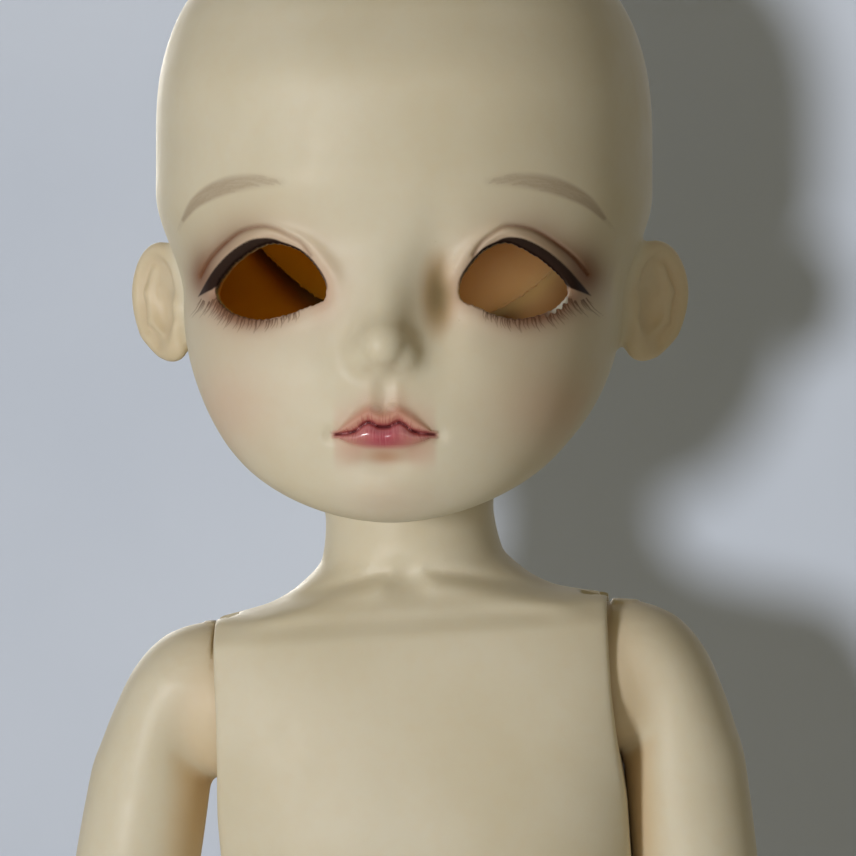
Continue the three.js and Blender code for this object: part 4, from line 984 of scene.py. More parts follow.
def paint_region(P, level):
    x, y, h = P.T
    across = np.abs(x)
    front = y < -11
    eyes = (across > 4.5) & (across < 22.5) & (h > 17.3) & (h < 35.6)
    mouth = (across < 6.5) & (h > 6) & (h < 12.4)
    lashes = (across > 7.5) & (across < 21) & (h > 17.8) & (h < 23.6)
    region = front & ((across < 23.5) & (h < 37), eyes | mouth, lashes | mouth)[level]
    region[region] = egg(P[region]) > -1
    return region


def crisp_rim(mesh, points):
    """Parts the rim's faces from the hollow's, so that the walls on both sides are lit alike."""
    near = (np.abs(parted(points)) < RIM_REACH) & (egg(points) < -0.8)

    def change(bm):
        for edge in bm.edges:
            if near[edge.verts[0].index] and near[edge.verts[1].index]:
                edge.smooth = edge.calc_face_angle(0) < RIM_ANGLE

    edited(mesh, change)


def make_head():
    box = ((-30.5, -31.5, -1), (30.5, 31.5, HEAD_HEIGHT + 1))
    mesh, points, facing = cast("head_shell", head_shell, *box, step=FINE_STEP, rounds=3, region=paint_region)
    crisp_rim(mesh, points)
    paint, gloss, inside = face_paint(points, facing)
    # Painted warm glow at the cap's parting, on the ears and round the neck's socket, standing in for light
    # through the thin resin
    painted_warmth = 0.5 * np.exp(-np.abs(parted(points)) / 0.5)
    hollow = sphere(points, NECK_AT, NECK_BALL + JOINT_GAP)
    ears = 0.22 * ramp(0.2, 1.6, egg(points)) * ramp(15, 18, np.abs(points[:, 0]))
    painted_warmth = np.maximum.reduce([painted_warmth, ears, 0.7 * np.exp(-np.abs(hollow) / 1.2)])
    tones(mesh, painted_warmth, paint, gloss, inside)
    shown("head_shell_casting", mesh, HEAD_PLACE, "head", ["head_shell"], resin)
    box = ((-30, -8, 10), (30, 31.5, HEAD_HEIGHT + 1))
    mesh, points, _ = cast("head_cap", head_cap, *box, step=FINE_STEP)
    crisp_rim(mesh, points)
    paint = np.zeros((len(points), 4))
    inside = ramp(0.8, 2.2, -egg(points))
    # Painted glow of light through the resin on the hollow's wall, and painted warm glow at the parting
    paint_hollow_glow(paint, points, inside, 0)
    tones(mesh, 0.5 * np.exp(-np.abs(parted(points)) / 0.5), paint, None, inside)
    shown("head_cap_casting", mesh, HEAD_PLACE, "head_cap", ["head_cap"], resin)


# Torso

def waist_to(joint):
    return pivot(joint) - pivot("waist_bend")


SHOULDER = waist_to("shoulder_swing_left")[2]
SHOULDER_SPREAD = waist_to("shoulder_swing_left")[0]
NECK_TOP = waist_to("head_turn")[2]
CORNER = SHOULDER + SHOULDER_RISE
NECK_BASE = NECK_TOP - NECK_BASE_DROP
CHEST_SIDES = [
    (2, WAIST_HALF_WIDTH), (0.28 * SHOULDER, WAIST_HALF_WIDTH + 0.3), (0.48 * SHOULDER, RIB_HALF_WIDTH),
    (0.7 * SHOULDER, RIB_HALF_WIDTH), (0.86 * SHOULDER, SHOULDER_HALF_WIDTH + 0.25),
    (SHOULDER, SHOULDER_HALF_WIDTH), (NECK_TOP, SHOULDER_HALF_WIDTH),
]
CHEST_ROWS = [
    (-1, WAIST_HALF_WIDTH, BELLY_FRONT, BELLY_BACK, 2.4),
    (0.28 * SHOULDER, WAIST_HALF_WIDTH + 0.4, BELLY_FRONT, BELLY_BACK, 2.4),
    (0.48 * SHOULDER, RIB_HALF_WIDTH + 0.6, 0.97 * CHEST_FRONT, 0.97 * CHEST_BACK, 2.5),
    (0.7 * SHOULDER, RIB_HALF_WIDTH + 2, CHEST_FRONT, CHEST_BACK, 2.5),
    (0.86 * SHOULDER, SHOULDER_HALF_WIDTH + 4.6, 0.98 * CHEST_FRONT, CHEST_BACK, 2.6),
    (SHOULDER, SHOULDER_HALF_WIDTH + 5.6, 0.92 * CHEST_FRONT, 0.97 * CHEST_BACK, 2.6),
    (CORNER - 2.6, SHOULDER_HALF_WIDTH + 5.4, 0.8 * CHEST_FRONT, 0.9 * CHEST_BACK, 2.6),
    (CORNER - 0.4, SHOULDER_HALF_WIDTH + 3.2, 0.68 * CHEST_FRONT, 0.8 * CHEST_BACK, 2.5),
    (0.5 * (CORNER + NECK_BASE), 0.72 * SHOULDER_HALF_WIDTH, 8.6, 8.6, 2.3),
    (NECK_BASE, 0.57 * SHOULDER_HALF_WIDTH, 8.8, 8.8, 2.1),
    (NECK_BASE + 2.4, NECK_HALF_WIDTH + 0.6, NECK_HALF_WIDTH + 0.4),
    (NECK_TOP - 5.5, NECK_HALF_WIDTH),
    (NECK_TOP - 3.2, NECK_HALF_WIDTH - 0.1),
]


def chest_settle(z):
    return np.zeros(len(z)), -SPINE_SETBACK * (1 - ramp(CORNER, NECK_BASE + 2, z))


chest_body = loft(CHEST_ROWS, chest_settle, 0.8)
chest_room = loft([
    (-4, WAIST_HALF_WIDTH - TORSO_WALL, BELLY_FRONT - TORSO_WALL, BELLY_BACK - TORSO_WALL),
    (0.75 * SHOULDER, RIB_HALF_WIDTH - TORSO_WALL - 6, CHEST_FRONT - TORSO_WALL, CHEST_BACK - TORSO_WALL),
    (SHOULDER, SHOULDER_SPREAD - SHOULDER_BALL - TORSO_WALL, 9, 8),
    (SHOULDER + 4, 5),
], lambda z: (0, -SPINE_SETBACK))


def chest_relief(P):
    x, y, z = P.T
    across = np.abs(x)
    front = 1 - ramp(-6, -2, y)
    fold = np.interp(across, [1.5, 6, 12, 18], [56.6, 55.7, 54.3, 52.9]) + NECK_BASE - 56
    reach = ramp(1.2, 3, across) * (1 - ramp(15, 20, across))
    relief = reach * (0.42 * bell(z - fold + 1.3, 1.1) - 0.5 * bell(z - fold, 0.75))
    relief -= 0.95 * mound(x, z, 0, NECK_BASE - 0.2, 1.7, 1.5)
    behind = ramp(2, 6, y)
    spine = -0.55 * bell(x, 1.6) * ramp(6, 16, z) * (1 - ramp(46, 54, z))
    blades = 0.6 * mound(across, z, 9.5, 40, 4.5, 7)
    return front * relief + behind * (spine + blades)


def chest(P):
    x, _, z = P.T
    body = chest_body(P) - chest_relief(P)
    side = smooth_through(*np.array(CHEST_SIDES).T, z)
    body = common(body, np.abs(x) - side, 0.5)
    body = union(body, sphere(P, (0, 0, NECK_TOP), NECK_BALL), 0.8)
    body = cut(body, chest_room(P), 0.5)
    bore = max(NECK_BALL * np.sin(np.radians(HOOK_SWAY)) + NECK_WIRE / 2, NECK_LOOP + NECK_WIRE / 2) + 1.2
    body = cut(body, capsule(P, (0, 0, SHOULDER), (0, 0, NECK_TOP + CLEAR), bore), 0.4)
    Q = folded(P)
    socket = (SHOULDER_SPREAD, -SPINE_SETBACK, SHOULDER)
    body = cut(body, capsule(Q, (0, -SPINE_SETBACK, SHOULDER), socket, BORE_RADIUS + BORE_EASE), 0.3)
    body = cut(body, sphere(Q, socket, SHOULDER_BALL + JOINT_GAP), 0.45)
    return cut(body, sphere(P, (0, 0, 0), WAIST_BALL + JOINT_GAP), 0.4)


def hip_to(joint):
    return pivot(joint) - (0, 0, pivot("hip_swing_left")[2])


WAIST = hip_to("waist_bend")[2]
HIP_SPREAD = hip_to("hip_swing_left")[0]
DOME_TOP = WAIST + WAIST_BALL
pelvis_body = loft([
    (-SEAT_DROP, 7, 4.5, 5),
    (-0.5 * SEAT_DROP, 12, 6.6, 8.5),
    (0.1 * WAIST, 0.92 * HIP_HALF_WIDTH, 0.78 * BELLY_FRONT, 0.93 * SEAT_BACK, 2.2),
    (0.32 * WAIST, HIP_HALF_WIDTH, 0.99 * BELLY_FRONT, SEAT_BACK, 2.4),
    (0.64 * WAIST, 0.96 * HIP_HALF_WIDTH, BELLY_FRONT, 0.5 * (SEAT_BACK + BELLY_BACK), 2.4),
    (WAIST, WAIST_HALF_WIDTH + 0.3, BELLY_FRONT, BELLY_BACK, 2.4),
    (DOME_TOP + 2, WAIST_HALF_WIDTH, BELLY_FRONT, BELLY_BACK, 2.4),
], ends=2.5)
pelvis_room = loft([
    (0.42 * WAIST, 0.5 * HIP_HALF_WIDTH, 5, 9),
    (0.8 * WAIST, WAIST_HALF_WIDTH - TORSO_WALL, BELLY_FRONT - TORSO_WALL - 2, BELLY_BACK - TORSO_WALL + 1),
    (WAIST + 0.25 * WAIST_BALL, 0.6 * WAIST_HALF_WIDTH, 6, 8),
])


def pelvis(P):
    z = P[:, 2]
    dome = sphere(P, (0, SPINE_SETBACK, WAIST), WAIST_BALL)
    body = pelvis_body(P)
    body = np.where(z > WAIST - 4, common(body, np.where(z > WAIST, dome, -9), 0.6), body)
    body = cut(body, pelvis_room(P), 0.5)
    sway = WAIST_BALL * np.sin(np.radians(WAIST_BEND)) + BORE_RADIUS - 0.2
    body = cut(body, capsule(P, (0, SPINE_SETBACK, WAIST), (0, SPINE_SETBACK, DOME_TOP + CLEAR), sway), 0.5)
    Q = folded(P)
    hip = (HIP_SPREAD, 0, 0)
    body = cut(body, sphere(Q, hip, HIP_BALL + JOINT_GAP), 0.5)
    body = cut(body, capsule(Q, hip, (HIP_SPREAD, 0, HIP_BALL + 0.3 * WAIST), BORE_RADIUS + BORE_EASE), 0.3)
    front, back = 180 - THIGH_CONE - SWEEP_GAP - HIP_FORWARD, 180 - THIGH_CONE - SWEEP_GAP - HIP_BACK
    return cut(body, wedge(P, back, 360 - front), 0.8)


def make_torso():
    spot = placed(pivot("waist_bend"))
    socket = np.array([SHOULDER_SPREAD, -SPINE_SETBACK, SHOULDER])
    painted_warmth = [(socket * (side, 1, 1), SHOULDER_BALL, 1.0) for side in SIDES.values()]
    painted_warmth.append(((0, 0, 0), WAIST_BALL, 0.8))
    box = ((-23, -19, -2), (23, 13, NECK_TOP + NECK_BALL + 1))
    casting("chest", chest, box, spot, painted_warmth, step=FINE_STEP, rounds=2)
    spot = placed((0, 0, pivot("hip_swing_left")[2]))
    painted_warmth = [((side * HIP_SPREAD, 0, 0), HIP_BALL, 1.0) for side in SIDES.values()]
    painted_warmth.append(((0, SPINE_SETBACK, WAIST), WAIST_BALL, 0.6))
    casting("pelvis", pelvis, ((-24, -14, -7), (24, 16, DOME_TOP + 1)), spot, painted_warmth)


# Arms

def arm_frame(name):
    """The arm's own frame: X from the elbow's axis, Y to the back, and its lengths."""
    x = -np.array(JOINTS[f"elbow_bend_{name}"]["axis"])
    y = np.array([0, 1, 0])
    turn = np.stack([x, y, np.cross(x, y)])
    elbow = turn @ (pivot(f"elbow_bend_{name}") - pivot(f"shoulder_swing_{name}"))
    wrist = turn @ (pivot(f"wrist_twist_{name}") - pivot(f"elbow_bend_{name}"))
    splay = np.degrees(np.arcsin(abs(x[2])))
    return x, elbow, wrist, splay


def upper_arm_route(elbow):
    across, length = elbow[0], -elbow[2]
    bend = [(0.55, 0.02), (0.9, 0.09), (1, 0.22), (1, 0.55)]
    return [np.array([across * out, 0, -length * down]) for out, down in bend]


def upper_arm(side, elbow, splay):
    length, crest, across = -elbow[2], SHOULDER_BALL, elbow[0]

    def lean(z):
        share = np.clip((z + crest) / (1.9 * crest), 0, 1)
        return across * (1 - 0.62 * share * share), 0

    column = loft([
        (-length - 0.9 * ELBOW_HALF_WIDTH, 0.95 * ELBOW_HALF_WIDTH),
        (-length, ELBOW_HALF_WIDTH),
        (-0.87 * length, ELBOW_HALF_WIDTH),
        (-0.69 * length, 0.98 * ARM_HALF_WIDTH, 0.95 * ARM_HALF_DEPTH),
        (-0.46 * length, ARM_HALF_WIDTH, ARM_HALF_DEPTH),
        (-0.25 * length, 0.97 * ARM_HALF_WIDTH, ARM_HALF_DEPTH + 0.1),
        (-0.7 * crest, 0.87 * ARM_HALF_WIDTH, ARM_HALF_DEPTH + 0.2),
        (-0.15 * crest, 0.83 * ARM_HALF_WIDTH, ARM_HALF_DEPTH + 0.4),
        (0.11 * crest, 0.83 * ARM_HALF_WIDTH, ARM_HALF_DEPTH + 0.4),
        (0.39 * crest, 0.8 * ARM_HALF_WIDTH, 0.86 * crest),
        (0.68 * crest, 0.7 * ARM_HALF_WIDTH, 0.7 * crest),
        (0.87 * crest, 0.46 * ARM_HALF_WIDTH, 0.45 * crest),
        (0.95 * crest, 0.22 * ARM_HALF_WIDTH, 0.22 * crest),
    ], lean, 0.4)
    route = [np.zeros(3), *upper_arm_route(elbow), elbow]
    beside = SHOULDER_HALF_WIDTH - SHOULDER_SPREAD + 1.2 * JOINT_GAP

    def field(P):
        ball = sphere(P, (0, 0, 0), SHOULDER_BALL)
        tilt = np.radians(splay)
        inner = beside - side * P[:, 0] * np.cos(tilt) + P[:, 2] * np.sin(tilt)
        body = common(union(column(P), ball, 2), inner, 0.3)
        body = union(body, ball, 0.2)
        body = cut(body, chain(P, route, [BORE_RADIUS] * len(route), 0.4), 0.3)
        inward = 90 - splay
        across_way = np.stack([P[:, 1], -side * P[:, 0], P[:, 2]], 1)
        body = cut(body, cord_way(across_way, inward - ARM_RAISE, inward), 0.3)
        body = cut(body, sphere(P, elbow, ELBOW_BALL + JOINT_GAP), 0.4)
        return cut(body, wedge(P - elbow, RIM_BACKING, 360 - RIM_BENDING), 0.6)

    return field


def ball_relief(P, bend):
    return wedge(P, 360 - RIM_BENDING - SWEEP_GAP - bend, 360 + RIM_BACKING + SWEEP_GAP)


def forearm(wrist):
    length, slope = -wrist[2], wrist[0] / -wrist[2]
    middle = 0.5 * (FOREARM_HALF_WIDTH + WRIST_HALF_WIDTH)
    column = loft([
        (0.35 * WRIST_BALL - length, WRIST_HALF_WIDTH, 0.95 * WRIST_HALF_WIDTH),
        (-0.85 * length, WRIST_HALF_WIDTH + 0.2, WRIST_HALF_WIDTH),
        (-0.6 * length, middle),
        (-0.36 * length, 0.96 * FOREARM_HALF_WIDTH, 0.97 * FOREARM_HALF_WIDTH),
        (-0.18 * length, FOREARM_HALF_WIDTH),
        (-0.04 * length, ELBOW_HALF_WIDTH - 0.1, ELBOW_HALF_WIDTH),
        (0.04 * length, ELBOW_HALF_WIDTH - 0.1, ELBOW_HALF_WIDTH),
    ], lambda z: (-slope * z, 0), 0.6)
    reach = WRIST_LOOP + WRIST_WIRE / 2 + SEAT_GAP
    hook_top = wrist * (1 - (HOOK_SPAN + reach) / length)

    def field(P):
        body = cut(column(P), ball_relief(P, ELBOW_BEND), 0.6)
        body = union(body, sphere(P, (0, 0, 0), ELBOW_BALL), 0.3)
        body = cut(body, cord_way(P, -ELBOW_BEND, 0), 0.3)
        body = cut(body, capsule(P, (0, 0, 0), hook_top, BORE_RADIUS), 0.3)
        body = cut(body, capsule(P, hook_top, wrist, reach), 0.3)
        return cut(body, sphere(P, wrist, WRIST_BALL + JOINT_GAP), 0.35)

    return field, hook_top


def hook_seat(P, body, wire, loop, ball, along):
    """Cuts the hook's slot and the pin's bore, whose axis is X or Y."""
    depth = loop + wire / 2 + SEAT_GAP
    half = np.array([2 * ball, 2 * ball, ball + depth / 2])
    half[along] = wire / 2 + SEAT_GAP
    body = cut(body, slab(P, (0, 0, ball - depth / 2), half), 0.2)
    end = np.zeros(3)
    end[along] = PIN_SHARE * ball + SEAT_GAP
    return cut(body, drum(P, -end, end, loop - wire / 2, 0.1), 0.1)


def hand(inward):
    pitch = 2 * FINGER_RADIUS + 0.15
    palm = loft([
        (-1.06 * PALM_LENGTH, 0.6 * PALM_HALF_THICKNESS, 0.9 * PALM_HALF_WIDTH),
        (-0.96 * PALM_LENGTH, 0.82 * PALM_HALF_THICKNESS, PALM_HALF_WIDTH),
        (-0.66 * PALM_LENGTH, 0.95 * PALM_HALF_THICKNESS, PALM_HALF_WIDTH),
        (-0.32 * PALM_LENGTH, PALM_HALF_THICKNESS, 0.86 * PALM_HALF_WIDTH),
        (-0.3 * WRIST_BALL, 0.95 * PALM_HALF_THICKNESS, 0.72 * PALM_HALF_WIDTH),
    ], lambda z: (inward * 0.3, 0), 1.0)

    def digit(P, root, tip, radius):
        root, tip = np.array(root, float), np.array(tip, float)
        shares = [0, 0.42, 0.74, 0.96]
        points = [root + (tip - root) * s + (inward * s * s, 0, 0) for s in shares]
        body = chain(P, points, [radius, 0.97 * radius, 0.9 * radius, 0.72 * radius], 0.25)
        for s in (0.42, 0.74):
            knuckle = root + (tip - root) * s + (inward * s * s, 0, 0)
            body = union(body, sphere(P, knuckle + (-inward * 0.25, 0, 0), 0.86 * radius), 0.3)
        nail = root + (tip - root) * 0.9 + (inward * (0.81 - 0.62 * radius), 0, 0)
        return union(body, ellipsoid(P, nail, (0.42, 0.62 * radius, 1.0)), 0.08)

    def field(P):
        body = union(sphere(P, (0, 0, 0), WRIST_BALL), palm(P), 0.8)
        heel = (inward * 1.1, -0.55 * PALM_HALF_WIDTH, -0.42 * PALM_LENGTH)
        body = union(body, ellipsoid(P, heel, (1.9, 2.0, 3.4)), 1.0)
        for place, share in ((-1.5, 0.9), (-0.5, 1), (0.5, 0.96), (1.5, 0.8)):
            root = (inward * 0.3, place * pitch, -0.86 * PALM_LENGTH)
            tip = (inward * 0.6, place * pitch * 1.03, -PALM_LENGTH - FINGER_LENGTH * share)
            body = union(body, digit(P, root, tip, FINGER_RADIUS), 0.3)
        base = -0.4 * PALM_LENGTH
        thumb = digit(
            P,
            (inward * 0.6, -0.6 * PALM_HALF_WIDTH, base),
            (inward * 1.2, -PALM_HALF_WIDTH - 1.6, base - THUMB_LENGTH),
            1.12,
        )
        return hook_seat(P, union(body, thumb, 0.6), WRIST_WIRE, WRIST_LOOP, WRIST_BALL, 1)

    return field


def wrist_place(name):
    x = np.cross((0, 1, 0), JOINTS[f"wrist_twist_{name}"]["axis"])
    return placed(pivot(f"wrist_twist_{name}"), x)


def make_arm(name, side):
    x, elbow, wrist, splay = arm_frame(name)
    spot = placed(pivot(f"shoulder_swing_{name}"), x)
    low = np.array([min(-8.5, elbow[0] - 8), -9, elbow[2] - 7])
    high = np.array([max(8.5, elbow[0] + 8), 9, 9])
    painted_warmth = [((0, 0, 0), SHOULDER_BALL, 1.0), (elbow, ELBOW_BALL, 1.0)]
    field = upper_arm(side, elbow, splay)

    def glow(points, facing):
        """Light caught between the arm and the chest."""
        z = points[:, 2]
        return 0.55 * ramp(0.3, 0.95, -side * facing[:, 0]) * ramp(-34, -10, z) * ramp(0, -8, z)

    casting(f"upper_arm_{name}", field, (low, high), spot, painted_warmth, step=FINE_STEP, glow=glow)
    spot = placed(pivot(f"elbow_bend_{name}"), x)
    field, _ = forearm(wrist)
    box = ((-9, -8, wrist[2] - 1), (9, 8, 7))
    painted_warmth = [((0, 0, 0), ELBOW_BALL, 1.0), (wrist, WRIST_BALL, 0.8)]
    casting(f"forearm_{name}", field, box, spot, painted_warmth, step=FINE_STEP)
    spot = wrist_place(name)
    box = ((-5.5, -8.5, -PALM_LENGTH - FINGER_LENGTH - 1.5), (5.5, 6, 4))
    painted_warmth = [((0, 0, 0), WRIST_BALL, 0.7)]
    casting(f"hand_{name}", hand(-side), box, spot, painted_warmth, step=HAND_STEP)


# Legs

def thigh(knee):
    length, cone = -knee[2], np.radians(THIGH_CONE)
    brim, middle = 0.97 * HIP_BALL * np.sin(cone), 0.5 * (KNEE_RADIUS + THIGH_RADIUS)
    column = loft([
        (-length - 0.9 * KNEE_RADIUS, 0.95 * KNEE_RADIUS),
        (-length, KNEE_RADIUS),
        (-0.86 * length, KNEE_RADIUS, KNEE_RADIUS + 0.1),
        (-0.66 * length, middle),
        (-0.42 * length, 0.97 * THIGH_RADIUS),
        (-0.28 * length, THIGH_RADIUS),
        (-1.08 * HIP_BALL, 0.98 * THIGH_RADIUS),
        (-0.8 * HIP_BALL, 0.92 * THIGH_RADIUS),
        (-HIP_BALL * np.cos(cone), brim),
        (-0.4 * HIP_BALL, 0.5 * HIP_BALL),
    ], ends=0.8)

    def field(P):
        body = column(P) - 0.35 * mound(P[:, 0], P[:, 2], 0, knee[2] + 4.5, 4, 4) * (P[:, 1] < 0)
        body = union(body, sphere(P, (0, 0, 0), HIP_BALL), 0.5)
        body = cut(body, cord_way(P, -HIP_FORWARD, HIP_BACK), 0.3)
        body = cut(body, capsule(P, (0, 0, 0), knee, BORE_RADIUS), 0.3)
        body = cut(body, sphere(P, knee, KNEE_BALL + JOINT_GAP), 0.4)
        return cut(body, wedge(turned_about(P - knee), RIM_BACKING, 360 - RIM_BENDING), 0.7)

    return field


def shin(ankle):
    length = -ankle[2]
    column = loft([
        (0.3 * ANKLE_BALL - length, ANKLE_RADIUS),
        (-0.82 * length, ANKLE_RADIUS + 0.2),
        (-0.58 * length, 0.85 * CALF_RADIUS, 0.82 * CALF_RADIUS, 0.86 * CALF_BACK),
        (-0.33 * length, CALF_RADIUS, 0.93 * CALF_RADIUS, CALF_BACK),
        (-0.15 * length, CALF_RADIUS, 0.97 * CALF_RADIUS, 0.96 * CALF_BACK),
        (-0.03 * length, KNEE_RADIUS - 0.1, KNEE_RADIUS),
        (0.03 * length, KNEE_RADIUS - 0.1, KNEE_RADIUS),
    ], ends=0.7)
    reach = ANKLE_LOOP + ANKLE_WIRE / 2 + SEAT_GAP
    hook_top = np.array([0, 0, HOOK_SPAN + reach - length])

    def field(P):
        body = cut(column(P), ball_relief(turned_about(P), KNEE_BEND), 0.7)
        body = union(body, sphere(P, (0, 0, 0), KNEE_BALL), 0.3)
        body = cut(body, cord_way(turned_about(P), -KNEE_BEND, 0), 0.3)
        body = cut(body, capsule(P, (0, 0, 0), hook_top, BORE_RADIUS), 0.3)
        body = cut(body, capsule(P, hook_top, ankle, reach), 0.3)
        return cut(body, sphere(P, ankle, ANKLE_BALL + JOINT_GAP), 0.4)

    return field, hook_top


def foot(sole, side):
    height = -sole

    def up(share):
        return sole + share * height

    block = loft([
        (sole, FOOT_HALF_WIDTH - 0.9, FOOT_FRONT - 3.6, FOOT_HEEL - 0.7, 2.4),
        (up(0.06), FOOT_HALF_WIDTH - 0.2, FOOT_FRONT - 3, FOOT_HEEL, 2.4),
        (up(0.25), FOOT_HALF_WIDTH - 0.2, 0.86 * FOOT_FRONT, FOOT_HEEL, 2.4),
        (up(0.42), 0.93 * FOOT_HALF_WIDTH, 0.74 * FOOT_FRONT, 0.97 * FOOT_HEEL, 2.3),
        (up(0.55), 0.84 * FOOT_HALF_WIDTH, 0.5 * FOOT_FRONT, 0.92 * FOOT_HEEL, 2.2),
        (up(0.74), 0.7 * FOOT_HALF_WIDTH, 0.75 * FOOT_HALF_WIDTH),
        (-0.4 * ANKLE_BALL, 0.9 * ANKLE_BALL),
    ], ends=0.5)
    toes = [(-4.6, -24.2, 2.15), (-1.5, -24.9, 1.6), (1.1, -24.2, 1.5), (3.4, -22.9, 1.42), (5.4, -21.0, 1.4)]

    def field(P):
        body = block(P)
        arch = mound(side * P[:, 0], P[:, 1], -8, -8, 4, 7)
        body = body + 0.8 * arch * ramp(sole + 5, sole, P[:, 2])
        for x, y, radius in toes:
            tip = np.array([side * x, y - 0.4, sole + radius + 0.02])
            root = tip + (-side * 0.2 * x / 5, 5.5, 1.3)
            toe = union(capsule(P, root, tip, 1.05 * radius, radius), sphere(P, tip, 1.04 * radius), 0.4)
            nail = tip + (0, -0.35 * radius, 0.78 * radius)
            toe = union(toe, ellipsoid(P, nail, (0.62 * radius, 0.75 * radius, 0.34 * radius)), 0.06)
            body = union(body, toe, 0.55)
        for bone in (-1, 1):
            place = (bone * 0.66 * FOOT_HALF_WIDTH, 1.2, -0.5 * height)
            body = union(body, ellipsoid(P, place, (1.3, 1.8, 2)), 1.4)
        body = common(body, sole - P[:, 2], 0.3)
        body = union(body, sphere(P, (0, 0, 0), ANKLE_BALL), 0.3)
        return hook_seat(P, body, ANKLE_WIRE, ANKLE_LOOP, ANKLE_BALL, 0)

    return field


def make_leg(name, side):
    hip, knee, ankle = (pivot(f"{joint}_{name}") for joint in ("hip_swing", "knee_bend", "ankle_bend"))
    box = ((-12, -12, (knee - hip)[2] - 8.5), (12, 12, 12))
    painted_warmth = [((0, 0, 0), HIP_BALL, 0.8), (knee - hip, KNEE_BALL, 1.0)]
    casting(f"thigh_{name}", thigh(knee - hip), box, placed(hip), painted_warmth)
    field, _ = shin(ankle - knee)
    box = ((-10, -10, (ankle - knee)[2]), (10, 10, 9))
    painted_warmth = [((0, 0, 0), KNEE_BALL, 1.0), (ankle - knee, ANKLE_BALL, 0.8)]
    casting(f"shin_{name}", field, box, placed(knee), painted_warmth)
    box = ((-9, -29, -ankle[2] - 0.2), (9, 12, 5))
    painted_warmth = [((0, 0, 0), ANKLE_BALL, 0.8)]
    casting(f"foot_{name}", foot(-ankle[2], side), box, placed(ankle), painted_warmth, step=FOOT_STEP)


# Stringing, wires and magnets

def swept(node, path, radius, place, body, material, braid=0.0, sides=24, pitch=0.3):
    """A bar along a path with bevelled ends, braided where braid says how deep."""
    path = np.asarray(path, float)
    length = np.linalg.norm(np.diff(path, axis=0), axis=1).sum()
    bevel = min(0.2, 0.3 * radius)
    inner = np.linspace(bevel / length, 1 - bevel / length, max(3, int(length / pitch)))
    shares = np.concatenate([[0], inner, [1]])
    line = at_shares(path, shares)
    run = np.gradient(line, axis=0)
    run /= np.linalg.norm(run, axis=1, keepdims=True)
    across = np.linalg.svd(run, full_matrices=False)[2][-1]
    beside = np.cross(run, across)
    angle = 2 * np.pi * np.arange(sides) / sides
    swell = np.full((len(line), sides), radius)
    if braid:
        turn, climb = 6 * angle, 6 / radius * length * shares[:, None]
        swell -= braid / 2 * (1 - np.maximum(np.cos(turn + climb), np.cos(turn - climb)))
    swell[[0, -1]] -= bevel
    aside = np.cos(angle)[:, None] * beside[:, None] + np.sin(angle)[:, None] * across
    points = (line[:, None] + swell[..., None] * aside).reshape(-1, 3)
    first = np.arange(len(points) - sides).reshape(-1, sides)
    after = np.roll(first, -1, 1)
    faces = np.stack([first, after, after + sides, first + sides], -1).reshape(-1, 4).tolist()
    faces += [list(range(sides))[::-1], list(range(len(points) - sides, len(points)))]
    mesh = bpy.data.meshes.new(node)
    mesh.from_pydata(points.tolist(), [], faces)
    edited(mesh, lambda bm: bmesh.ops.recalc_face_normals(bm, faces=bm.faces))
    mesh.shade_smooth()
    shown(f"{node}_strung", mesh, place, body, [node], material)


def cord(node, path, place, body):
    swept(node, path, CORD_RADIUS, place, body, elastic, braid=0.16)


def s_hook(node, wire, loop, span, place, body, along=0):
    """An S of wire: its lower loop is round the origin and its upper loop is span above."""
    turns = [(np.radians(angle), 0) for angle in range(150, 421, 15)]
    turns += [(np.radians(angle), span) for angle in range(240, -31, -15)]
    path = np.zeros((len(turns), 3))
    path[:, along] = [loop * np.cos(angle) for angle, _ in turns]
    path[:, 2] = [height + loop * np.sin(angle) for angle, height in turns]
    swept(node, rounded(path, steps=3), wire / 2, place, body, steel, sides=14, pitch=0.2)


def pin(node, wire, loop, ball, place, body, along):
    end = np.zeros(3)
    end[along] = PIN_SHARE * ball
    radius = loop - wire / 2 - SEAT_GAP
    swept(node, [-end, end], radius, place, body, steel, sides=28, pitch=0.5)


def make_stringing():
    spot = placed(pivot("waist_bend"))
    reach = SHOULDER_SPREAD - SHOULDER_BALL + CORD_INSET
    cord("arm_cord", [(-reach, -SPINE_SETBACK, SHOULDER), (reach, -SPINE_SETBACK, SHOULDER)], spot, "chest")
    top = NECK_TOP - NECK_LOOP - NECK_WIRE / 2 - SEAT_GAP
    cord("neck_cord", [(0, 0, 1), (0, 0, top)], spot, "neck_cord")
    spot = placed(pivot("head_nod"), JOINTS["head_nod"]["axis"])
    s_hook("neck_s_hook", NECK_WIRE, NECK_LOOP, BOSS_RADIUS + SEAT_GAP + NECK_LOOP, spot, "neck_hook")
    for seat, at in SEATS.items():
        for kind, body, start in (("head", "head", -MAGNET_THICKNESS), ("cap", "head_cap", CAP_GAP)):
            path = [at + start * OUTWARD, at + (start + MAGNET_THICKNESS) * OUTWARD]
            node = f"{kind}_magnet_{seat}"
            swept(node, path, MAGNET_RADIUS, HEAD_PLACE, body, nickel, sides=48)
    for name, side in SIDES.items():
        string_arm(name, side)
        string_leg(name, side)


